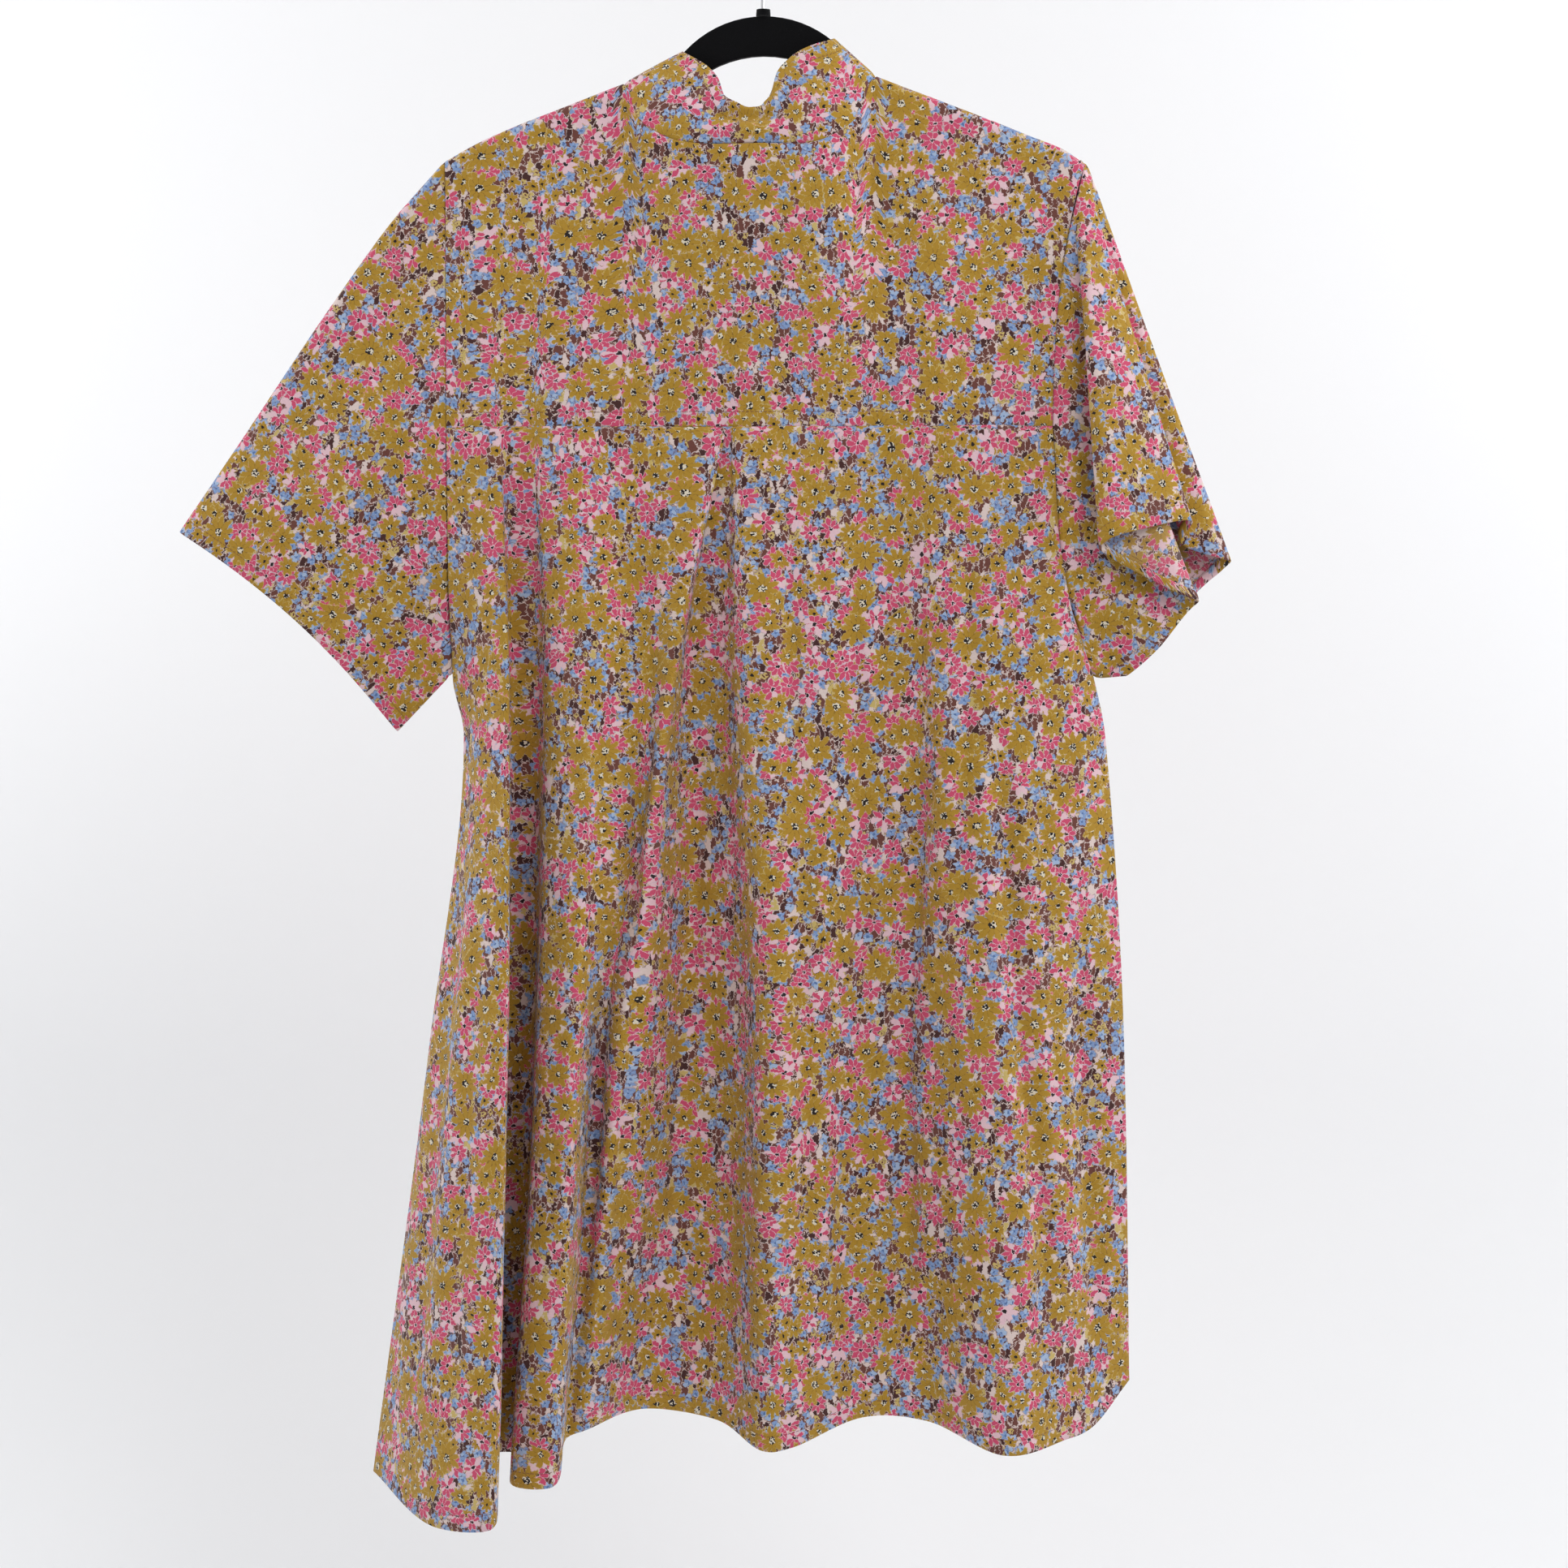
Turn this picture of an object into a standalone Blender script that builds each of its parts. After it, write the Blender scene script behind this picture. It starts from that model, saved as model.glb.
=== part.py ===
# Mini dress of light printed cotton, hung from a flocked hanger.
# Metres, +Z up. The back of the dress faces -Y and the origin is the point
# where the hook bears on a rail. Left and right are the wearer's.

import math
from collections import namedtuple

import bmesh
import bpy
import numpy as np

COLLECTION_NAME = "mini_dress_on_hanger"

# Cloth
WALL = 0.0012                # cloth wall
SEAM_GAP = 0.0003            # between the walls of two pieces at a seam
ARMHOLE_GAP = (0.0006, 0.0020)   # sleeve to body, at the shoulder and the underarm
SHOULDER_GAP = 0.0006        # between the back's and the front's walls on the shoulder
SHOULDER_ROLL = 0.0056       # radius of the cloth's bend over the hanger
SHOULDER_LEAN = 2.4          # how soon the cloth below a shoulder hangs straight
NECK_LEAN = 1.3              # the same below the neck
YOKE_SEAM_Z = -0.340
SKIRT_DROP = 0.640           # yoke seam to the level hem

# Hanger
CROWN_TOP_Z = -0.0834
CROWN_RADIUS = 0.0682
CROWN_INNER_RADIUS = 0.0697
CROWN_INNER_CENTRE_Z = -0.1777
ARM_START_X = 0.0600         # where the arm leaves the crown
ARM_START_Z = -0.1192
ARM_SLOPE = 0.39
ARM_HEIGHT = 0.0240
ARM_TIP_X = 0.1930
HANGER_HALF_THICKNESS = 0.0028
HANGER_EDGE_ROUND = 0.0010
FERRULE_RADIUS = 0.0046
FERRULE_HEIGHT = 0.0040
WIRE_RADIUS = 0.00175
HOOK_RADIUS = 0.0210         # centre line of the hook's bend
HOOK_STEM_TOP_Z = -0.0540

# One row for each fold of the skirt's back, from the left side to the right.
# y is how far the fold stands out (-) or sinks in; the hem has its own height.
Fold = namedtuple("Fold", "name yoke_x yoke_y hip_x hip_y thigh_x thigh_y hem_x hem_y hem_z")
BACK_FOLDS = [
    Fold("flare_crest", -0.187, -0.016, -0.176, -0.025, -0.183, -0.060, -0.195, -0.102, -1.022),
    Fold("flare_edge", -0.171, -0.018, -0.160, -0.036, -0.157, -0.076, -0.159, -0.119, -1.017),
    Fold("deep_valley", -0.157, -0.0155, -0.157, -0.007, -0.162, -0.010, -0.170, -0.031, -0.994),
    Fold("valley_side", -0.148, -0.0160, -0.147, -0.009, -0.151, -0.009, -0.159, -0.030, -0.994),
    Fold("second_ridge", -0.138, -0.018, -0.132, -0.027, -0.138, -0.050, -0.152, -0.076, -1.002),
    Fold("second_crest", -0.122, -0.021, -0.110, -0.038, -0.117, -0.060, -0.128, -0.079, -1.002),
    Fold("ridge_foot", -0.081, -0.018, -0.070, -0.022, -0.100, -0.026, -0.124, -0.040, -0.982),
    Fold("pleat_flap", -0.030, -0.0215, -0.057, -0.034, -0.085, -0.040, -0.110, -0.038, -0.976),
    Fold("pleat_floor", -0.023, -0.0200, -0.046, -0.008, -0.046, 0.004, -0.074, 0.000, -0.972),
    Fold("pleat_side", -0.019, -0.0200, -0.025, -0.012, -0.017, -0.010, -0.030, -0.015, -0.974),
    Fold("pleat_ridge", -0.014, -0.0215, -0.005, -0.035, 0.006, -0.043, 0.002, -0.050, -0.984),
    Fold("back_centre", 0.012, -0.021, 0.025, -0.030, 0.033, -0.034, 0.022, -0.045, -0.983),
    Fold("shallow_valley", 0.047, -0.020, 0.057, -0.024, 0.053, -0.022, 0.063, -0.020, -0.970),
    Fold("right_valley", 0.082, -0.017, 0.095, -0.013, 0.087, -0.008, 0.105, -0.013, -0.973),
    Fold("right_ridge", 0.113, -0.020, 0.117, -0.027, 0.140, -0.036, 0.154, -0.050, -0.984),
    Fold("right_flat", 0.148, -0.018, 0.169, -0.022, 0.181, -0.024, 0.192, -0.025, -0.981),
    Fold("right_edge", 0.171, -0.015, 0.199, -0.013, 0.210, -0.010, 0.215, -0.005, -0.974),
]
FRONT_FOLDS = [
    Fold("front_side_left", -0.165, 0.017, -0.163, 0.024, -0.178, 0.034, -0.204, 0.034, -0.992),
    Fold("front_valley_left", -0.120, 0.014, -0.118, 0.012, -0.128, 0.012, -0.146, 0.004, -0.978),
    Fold("front_ridge_left", -0.070, 0.019, -0.068, 0.028, -0.070, 0.044, -0.084, 0.056, -0.984),
    Fold("front_hollow", -0.028, 0.016, -0.030, 0.018, -0.026, 0.020, -0.028, 0.022, -0.972),
    Fold("front_centre", 0.016, 0.017, 0.018, 0.026, 0.026, 0.038, 0.030, 0.050, -0.980),
    Fold("front_valley_right", 0.062, 0.015, 0.070, 0.015, 0.082, 0.018, 0.090, 0.022, -0.970),
    Fold("front_ridge_right", 0.104, 0.018, 0.118, 0.028, 0.136, 0.046, 0.148, 0.058, -0.980),
    Fold("front_side_right", 0.150, 0.015, 0.171, 0.018, 0.190, 0.024, 0.204, 0.034, -0.968),
]
FOLD_LEVELS = (0.0, 0.258, 0.620, 1.0)      # share of the skirt's drop, yoke to hem
YOKE_SHARE = 0.51                           # share of the armhole above the yoke seam
UNDERARM_ROUND = (0.90, 0.0040)             # where the sleeve rounds under, half its width

# The dress's sides, armhole above and side seam below the underarm.
Side = namedtuple("Side", "name drop z left_x left_y right_x right_y half_depth")
SIDE_LEVELS = [
    Side("yoke_seam", 0.000, -0.3400, -0.2005, 0.000, 0.1822, 0.000, 0.0130),
    Side("chest", 0.139, -0.4287, -0.2005, 0.000, 0.1884, 0.000, 0.0100),
    Side("underarm", 0.246, -0.4980, -0.1995, 0.000, 0.2090, 0.000, 0.0011),
    Side("below_arm", 0.305, -0.5350, -0.1925, 0.000, 0.2165, 0.000, 0.0011),
    Side("thigh", 0.620, -0.7370, -0.2155, -0.006, 0.2301, 0.001, 0.0011),
    Side("hem", 1.000, -1.0080, -0.2494, -0.030, 0.2351, 0.010, 0.0011),
]
RIGHT_HEM_Z = -0.950

# Shoulder lines from the neck out, and the neck's edge from left to right.
Edge = namedtuple("Edge", "place x y z")
LEFT_SHOULDER = [Edge(0.0, -0.0885, 0.0, -0.1240), Edge(0.75, -0.1755, 0.0, -0.1582),
                 Edge(1.0, -0.2016, 0.0, -0.1712)]
RIGHT_SHOULDER = [Edge(0.0, 0.0716, 0.0, -0.1211), Edge(0.75, 0.1680, 0.0, -0.1587),
                  Edge(0.9, 0.1880, 0.0, -0.1668), Edge(1.0, 0.2022, 0.0, -0.1768)]
BACK_NECK = [Edge(0.0, -0.0885, 0.000, -0.1240), Edge(0.03, -0.0862, -0.0048, -0.1262),
             Edge(0.10, -0.0800, -0.0120, -0.1445), Edge(0.20, -0.0670, -0.0180, -0.1560),
             Edge(0.55, -0.0025, -0.0240, -0.1649), Edge(0.80, 0.0460, -0.0200, -0.1590),
             Edge(0.90, 0.0625, -0.0120, -0.1440), Edge(0.97, 0.0690, -0.0050, -0.1230),
             Edge(1.0, 0.0716, 0.000, -0.1211)]
FRONT_NECK = [Edge(0.0, -0.0885, 0.000, -0.1240), Edge(0.025, -0.0862, 0.0048, -0.1262),
              Edge(0.10, -0.0745, 0.0095, -0.1480), Edge(0.5, -0.0040, 0.0130, -0.2690),
              Edge(0.90, 0.0590, 0.0095, -0.1460), Edge(0.975, 0.0690, 0.0050, -0.1230),
              Edge(1.0, 0.0716, 0.000, -0.1211)]

# The collar's free edge, from one end at the front, round the back, to the other.
Collar = namedtuple("Collar", "place x y z")
COLLAR_EDGE = [
    Collar(0.00, -0.0080, 0.0170, -0.2560), Collar(0.16, -0.0160, 0.0190, -0.1960),
    Collar(0.26, -0.0400, 0.0110, -0.1280), Collar(0.30, -0.0490, 0.0046, -0.1065),
    Collar(0.32, -0.0514, 0.0000, -0.1045), Collar(0.34, -0.0490, -0.0046, -0.1062),
    Collar(0.40, -0.0312, -0.0110, -0.1180), Collar(0.45, -0.0195, -0.0165, -0.1370),
    Collar(0.505, -0.0045, -0.0190, -0.1435), Collar(0.55, 0.0105, -0.0165, -0.1260),
    Collar(0.60, 0.0196, -0.0120, -0.1122), Collar(0.68, 0.0425, -0.0046, -0.0998),
    Collar(0.70, 0.0449, 0.0000, -0.0978), Collar(0.72, 0.0430, 0.0046, -0.1000),
    Collar(0.76, 0.0330, 0.0110, -0.1240), Collar(0.85, 0.0080, 0.0190, -0.1960),
    Collar(1.00, 0.0000, 0.0170, -0.2560),
]
COLLAR_BACK_SHARE = (0.32, 0.70)     # the shoulder points on the collar's length
COLLAR_LIFT = 0.0018                 # seam to collar, at the slope it rises with
COLLAR_BULGE = 0.0030

# The left sleeve hangs flat: its top and lower edges, and its open hem.
LEFT_SLEEVE_TOP = [Edge(0.0, -0.2023, 0.0, -0.1716), Edge(0.16, -0.2319, 0.0, -0.2040),
                   Edge(0.42, -0.2774, 0.0, -0.2643), Edge(0.68, -0.3207, 0.0, -0.3258),
                   Edge(1.0, -0.3761, 0.0, -0.4052)]
LEFT_SLEEVE_LOWER = (-0.2358, 0.0, -0.5327)  # the lower edge's end, at the hem
LEFT_SLEEVE_HEM_DEPTH = 0.0110               # half, across the open hem
LEFT_SLEEVE_HEM_HOLLOW = 0.0098              # how far the hem curves in
LEFT_SLEEVE_INWARD = (0.68, 0.0, 0.73)       # square to the hem, towards the armhole

# The right sleeve falls in a Z-shaped fold: a row for each fold, round the tube
# from its top edge down the back and up the front. arm is its start round the
# armhole, 0 at the shoulder and 1 at the underarm; x, y and z are at the hem.
SleeveFold = namedtuple("SleeveFold", "name place arm x y z")
RIGHT_SLEEVE_FOLDS = [
    SleeveFold("top_edge", 0.000, 0.000, 0.2949, 0.0080, -0.4240),
    SleeveFold("top_back", 0.025, 0.006, 0.2900, 0.0045, -0.4225),
    SleeveFold("tucked_valley", 0.090, 0.015, 0.2640, 0.0010, -0.4130),
    SleeveFold("flap_end", 0.150, 0.030, 0.2690, -0.0100, -0.3990),
    SleeveFold("flap_middle", 0.220, 0.050, 0.2400, -0.0240, -0.4035),
    SleeveFold("flap_near", 0.275, 0.070, 0.2160, -0.0300, -0.4110),
    SleeveFold("flap_fold", 0.300, 0.085, 0.2112, -0.0255, -0.4160),
    SleeveFold("flap_far", 0.325, 0.100, 0.2160, -0.0205, -0.4200),
    SleeveFold("inner_near", 0.430, 0.140, 0.2680, -0.0145, -0.4470),
    SleeveFold("inner_fold", 0.455, 0.175, 0.2735, -0.0095, -0.4490),
    SleeveFold("inner_far", 0.480, 0.215, 0.2690, -0.0040, -0.4540),
    SleeveFold("lower_back", 0.560, 0.600, 0.2500, -0.0060, -0.4780),
    SleeveFold("lower_edge", 0.660, 1.000, 0.2290, 0.0010, -0.4965),
    SleeveFold("lower_front", 0.760, 1.400, 0.2500, 0.0110, -0.4700),
    SleeveFold("upper_front", 0.900, 1.780, 0.2790, 0.0170, -0.4390),
    SleeveFold("top_front", 0.975, 1.985, 0.2915, 0.0125, -0.4280),
]
RIGHT_SLEEVE_SWELL = 2.5                     # how soon its folds stand out from the armhole

YOKE_ROWS = [0.0, 0.006, 0.02, 0.036, 0.055, 0.08, 0.14, 0.26, 0.42, 0.60, 0.79, 0.97, 1.0]
COTTON = (0.42, 0.28, 0.16, 1.0)
FLOCK = (0.010, 0.010, 0.012, 1.0)
STEEL = (0.62, 0.62, 0.64, 1.0)


def fair_curve(places, values, monotone=False):
    """A smooth curve through values at places; monotone never overshoots them."""
    place = np.array(places, float)
    value = np.array(values, float)
    step = np.diff(place)[:, None]
    slope = np.diff(value, axis=0) / step
    tangent = np.empty_like(value)
    tangent[0], tangent[-1] = slope[0], slope[-1]
    before, after = slope[:-1], slope[1:]
    if monotone:
        same = before * after > 0
        tangent[1:-1] = np.where(same, 2 * before * after / np.where(same, before + after, 1), 0)
    else:
        tangent[1:-1] = (before * step[1:] + after * step[:-1]) / (step[:-1] + step[1:])

    def at(where):
        where = min(max(where, place[0]), place[-1])
        i = min(int(np.searchsorted(place, where, "right")) - 1, len(place) - 2)
        h = place[i + 1] - place[i]
        t = (where - place[i]) / h
        return ((1 + 2 * t) * (1 - t) ** 2 * value[i] + t * (1 - t) ** 2 * h * tangent[i]
                + t * t * (3 - 2 * t) * value[i + 1] + t * t * (t - 1) * h * tangent[i + 1])
    return at


def edge_curve(rows, monotone=False):
    return fair_curve([row.place for row in rows], [(row.x, row.y, row.z) for row in rows],
                      monotone)


def side_line(side, face):
    """The dress's side from the yoke seam to the hem; face is -1 back, 1 front."""
    rows = []
    for level in SIDE_LEVELS:
        x = level.left_x if side == "left" else level.right_x
        y = level.left_y if side == "left" else level.right_y
        z = RIGHT_HEM_Z if side == "right" and level.name == "hem" else level.z
        rows.append((x, y + face * level.half_depth, z))
    return fair_curve([level.drop for level in SIDE_LEVELS], rows, monotone=True)


def fold_line(fold):
    heights = [YOKE_SEAM_Z - SKIRT_DROP * level for level in FOLD_LEVELS[:3]] + [fold.hem_z]
    rows = [(fold.yoke_x, fold.yoke_y, heights[0]), (fold.hip_x, fold.hip_y, heights[1]),
            (fold.thigh_x, fold.thigh_y, heights[2]), (fold.hem_x, fold.hem_y, heights[3])]
    return fair_curve(FOLD_LEVELS, rows, monotone=True)


class Skirt:
    """The sheet that runs through a set of folds between the two sides."""

    def __init__(self, folds, face):
        self.lines = ([side_line("left", face)] + [fold_line(fold) for fold in folds]
                      + [side_line("right", face)])
        lengths = np.zeros(len(self.lines) - 1)
        for level in FOLD_LEVELS:
            points = np.array([line(level) for line in self.lines])
            lengths += np.linalg.norm(np.diff(points, axis=0), axis=1)
        self.across = np.concatenate([[0], np.cumsum(lengths)]) / lengths.sum()
        self.rows = {}
        self.neck_ends = [self.across_at(edge[0].x) for edge in (LEFT_SHOULDER, RIGHT_SHOULDER)]

    def at(self, across, drop):
        if drop not in self.rows:
            self.rows[drop] = fair_curve(self.across, [line(drop) for line in self.lines],
                                         monotone=drop == 0)
        return self.rows[drop](across)

    def across_at(self, x):
        """Where the cloth passes x at the yoke's level."""
        low, high = 0.0, 1.0
        while high - low > 0.0001:
            middle = (low + high) / 2
            if self.at(middle, 0.0)[0] < x:
                low = middle
            else:
                high = middle
        return round(low, 4)


def smooth_step(value, low, high):
    t = min(max((value - low) / (high - low), 0.0), 1.0)
    return t * t * (3 - 2 * t)


def bodice_at(skirt, neck, across, down):
    """A point between the shoulder and neck edge, at down 0, and the yoke level, at 1."""
    foot = skirt.at(across, 0.0)
    left_end, right_end = skirt.neck_ends
    lean = SHOULDER_LEAN
    if across <= left_end:
        top = edge_curve(LEFT_SHOULDER, True)(1 - across / left_end)
    elif across >= right_end:
        top = edge_curve(RIGHT_SHOULDER, True)((across - right_end) / (1 - right_end))
    else:
        top = neck((foot[0] - LEFT_SHOULDER[0].x) / (RIGHT_SHOULDER[0].x - LEFT_SHOULDER[0].x))
        lean = NECK_LEAN
    face = -1.0 if foot[1] < 0 else 1.0
    bend = SHOULDER_ROLL * max(0.0, 1 - abs(top[1]) / SHOULDER_ROLL)
    path = (top[2] - foot[2]) + bend * (math.pi / 2 - 1)
    run = down * path
    quarter = bend * math.pi / 2
    if run < quarter:
        out, fall = bend * math.sin(run / bend), bend * (1 - math.cos(run / bend))
    else:
        out, fall = bend, bend + run - quarter
    ease = smooth_step(down, 0.0, 1.0)
    y = top[1] + face * out + (foot[1] - top[1] - face * bend) * ease
    y += face * SHOULDER_GAP / 2 * (bend / SHOULDER_ROLL) * (1 - ease)
    x = foot[0] + (top[0] - foot[0]) * (1 - down) ** lean
    return np.array((x, y, top[2] - fall))


def armhole(side, share):
    """Round an armhole: 0 at the shoulder, 1 at the underarm, 2 back up the front."""
    face = -1 if share <= 1 else 1
    if share > 1:
        share = 2 - share
    skirt = BACK_SKIRT if face < 0 else FRONT_SKIRT
    across = 0.0 if side == "left" else 1.0
    if share < YOKE_SHARE:
        return bodice_at(skirt, None, across, share / YOKE_SHARE)
    underarm = SIDE_LEVELS[2].drop
    return side_line(side, face)((share - YOKE_SHARE) / (1 - YOKE_SHARE) * underarm)


def sleeve_start(side, share):
    """The sleeve's own edge: the armhole, a gap outward, opened round under the arm."""
    point = armhole(side, share)
    low = min(share, 2 - share)
    gap = ARMHOLE_GAP[0] + (ARMHOLE_GAP[1] - ARMHOLE_GAP[0]) * low ** 2
    point[0] += gap if side == "right" else -gap
    if low == 0:
        point[1] = 0.0
    under = max(0.0, (low - UNDERARM_ROUND[0]) / (1 - UNDERARM_ROUND[0]))
    if under > 0:
        full = max(abs(point[1]), UNDERARM_ROUND[1])
        point[1] = math.copysign(full * math.sqrt(1 - under ** 2.5), share - 1)
    return point


def spread(start, stop, count):
    return [start + (stop - start) * i / count for i in range(count + 1)]


def fold_columns(skirt, each):
    """Columns at every fold, and some between, close to the open ends."""
    columns = []
    for a, b in zip(skirt.across[:-1], skirt.across[1:]):
        columns += spread(a, b, each)[:-1]
    first, last = skirt.across[1], skirt.across[-2]
    return sorted(columns + [0.12 * first, 1.0, 1 - 0.12 * (1 - last)])


def add_object(name, mesh, material):
    thing = bpy.data.objects.new(name, mesh)
    thing.data.materials.append(material)
    bpy.data.collections[COLLECTION_NAME].objects.link(thing)
    return thing


def add_cloth(name, columns, rows, form, material, closed=False):
    """A grid laid through form(column, row), given the cloth's wall."""
    grid = bmesh.new()
    bmesh.ops.create_grid(grid, x_segments=len(columns) - 1, y_segments=len(rows) - 1, size=0.5)
    for vert in grid.verts:
        column = columns[round((vert.co.x + 0.5) * (len(columns) - 1))]
        row = rows[round((vert.co.y + 0.5) * (len(rows) - 1))]
        vert.co = form(column, row)
    if closed:
        bmesh.ops.remove_doubles(grid, verts=grid.verts, dist=0.00001)
    bmesh.ops.recalc_face_normals(grid, faces=grid.faces)
    mesh = bpy.data.meshes.new(name)
    grid.to_mesh(mesh)
    grid.free()
    mesh.shade_smooth()
    thing = add_object(name, mesh, material)
    wall = thing.modifiers.new("wall", "SOLIDIFY")
    wall.thickness = WALL
    wall.offset = 0.0
    return thing


def neck_columns(skirt, shoulder, neck):
    """Columns across the yoke or front, with one at each end of the neck."""
    left_end, right_end = skirt.neck_ends
    left_x, right_x = LEFT_SHOULDER[0].x, RIGHT_SHOULDER[0].x
    left = [0.0, 0.012] + spread(0.03, left_end, shoulder)[:-1]
    middle = [left_end] + [skirt.across_at(left_x + (right_x - left_x) * share)
                           for share in [0.03, 0.06] + spread(0.10, 0.90, neck) + [0.94, 0.97]]
    right = spread(right_end, 0.97, shoulder) + [0.988, 1.0]
    return left + middle + right


def collar_seam(place):
    """The seam line that the collar rises from, round the neck."""
    left, right = COLLAR_BACK_SHARE
    front_neck = edge_curve(FRONT_NECK)
    if place < left:
        return front_neck(0.5 * (1 - place / left))
    if place > right:
        return front_neck(1 - 0.5 * (place - right) / (1 - right))
    return edge_curve(BACK_NECK)((place - left) / (right - left))


def make_back(cotton):
    neck = edge_curve(BACK_NECK)
    rows = [0.0, 0.012] + spread(0.045, 1.0, 17)

    def panel(across, drop):
        point = BACK_SKIRT.at(across, drop)
        return point - np.array((0, 0, SEAM_GAP / 2 * (1 - drop)))

    def yoke(across, down):
        point = bodice_at(BACK_SKIRT, neck, across, down)
        return point + np.array((0, 0, SEAM_GAP / 2 * down))

    add_cloth("back_panel", fold_columns(BACK_SKIRT, 3), rows, panel, cotton)
    add_cloth("back_yoke", neck_columns(BACK_SKIRT, 10, 12), YOKE_ROWS, yoke, cotton)


def make_front(cotton):
    neck = edge_curve(FRONT_NECK)
    rows = [row - 1.0 for row in YOKE_ROWS] + spread(0.0, 0.3, 6)[1:] + spread(0.3, 1.0, 8)[1:]

    def panel(across, drop):
        if drop < 0:
            return bodice_at(FRONT_SKIRT, neck, across, drop + 1.0)
        return FRONT_SKIRT.at(across, drop)

    add_cloth("front_panel", neck_columns(FRONT_SKIRT, 8, 10), rows, panel, cotton)


def make_collar(cotton):
    free_edge = edge_curve(COLLAR_EDGE)

    left, right = COLLAR_BACK_SHARE

    def stand(place, height):
        seam, edge = collar_seam(place), free_edge(place)
        rise = (edge - seam) / np.linalg.norm(edge - seam)
        seam = seam + rise * COLLAR_LIFT
        point = seam + (edge - seam) * height
        back = min(max((place - left) / (right - left), 0.0), 1.0)
        point[1] -= COLLAR_BULGE * math.sin(math.pi * height) * math.sin(math.pi * back)
        return point

    places = (spread(0.06, 0.27, 5) + spread(0.29, 0.35, 6) + spread(0.37, 0.65, 12)
              + spread(0.67, 0.73, 6) + spread(0.75, 0.94, 5))
    add_cloth("collar_stand", places, [0.0, 0.08, 0.36, 0.68, 1.0], stand, cotton)


def make_left_sleeve(cotton):
    top = edge_curve(LEFT_SLEEVE_TOP)
    lower_end = np.array(LEFT_SLEEVE_LOWER)

    def tube(around, along):
        angle = 2 * math.pi * around
        share = (1 - math.cos(angle)) / 2
        start = sleeve_start("left", share if around <= 0.5 else 2 - share)
        hem = top(1.0) + (lower_end - top(1.0)) * share
        hem += np.array(LEFT_SLEEVE_INWARD) * LEFT_SLEEVE_HEM_HOLLOW * 4 * share * (1 - share)
        bend = math.sin(angle)
        hem[1] = -LEFT_SLEEVE_HEM_DEPTH * math.copysign(abs(bend) ** 0.8, bend)
        straight = top(0.0) + (top(1.0) - top(0.0)) * along
        return start + (hem - start) * along + (top(along) - straight) * (1 - share) ** 2

    rows = [0.0, 0.02] + spread(0.10, 1.0, 8)
    add_cloth("sleeve_left", spread(0.0, 1.0, 28), rows, tube, cotton, closed=True)


def make_right_sleeve(cotton):
    places = [fold.place for fold in RIGHT_SLEEVE_FOLDS]
    shares = [(fold.arm,) for fold in RIGHT_SLEEVE_FOLDS]
    hem = [(fold.x, fold.y, fold.z) for fold in RIGHT_SLEEVE_FOLDS]
    arm_share = fair_curve(places + [1.0], shares + [(2.0,)], monotone=True)
    wrapped = [places[-2] - 1, places[-1] - 1] + places + [1.0, 1 + places[1], 1 + places[2]]
    hem_ring = fair_curve(wrapped, hem[-2:] + hem + hem[:3])

    def tube(around, along):
        start = sleeve_start("right", float(arm_share(around)[0]))
        fall = np.array((along, 1 - (1 - along) ** RIGHT_SLEEVE_SWELL, along))
        return start + (hem_ring(around) - start) * fall

    columns = []
    for a, b in zip(places, places[1:] + [1.0]):
        columns += spread(a, b, 2 if b - a < 0.04 else 4)[:-1]
    rows = [0.0, 0.02] + spread(0.10, 1.0, 8)
    add_cloth("sleeve_right", columns + [1.0], rows, tube, cotton, closed=True)


def hanger_outline():
    """Half of the hanger, from the crown's top round the arm's tip to the inner arc."""
    centre_z = CROWN_TOP_Z - CROWN_RADIUS
    end = math.asin(ARM_START_X / CROWN_RADIUS)
    half = [(CROWN_RADIUS * math.sin(a), centre_z + CROWN_RADIUS * math.cos(a))
            for a in spread(0.0, end, 12)]
    lean = math.atan(ARM_SLOPE)
    radius = ARM_HEIGHT / 2 * math.cos(lean)
    tip_x = ARM_TIP_X - radius
    tip_z = ARM_START_Z - ARM_SLOPE * (tip_x - ARM_START_X) - ARM_HEIGHT / 2
    half += [(tip_x + radius * math.cos(a), tip_z + radius * math.sin(a))
             for a in spread(math.pi / 2 - lean, -math.pi / 2 - lean, 8)]
    meet = math.asin(ARM_START_X / CROWN_INNER_RADIUS)
    half += [(CROWN_INNER_RADIUS * math.sin(a), CROWN_INNER_CENTRE_Z + CROWN_INNER_RADIUS * math.cos(a))
             for a in spread(meet, 0.0, 10)]
    return half


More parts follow.
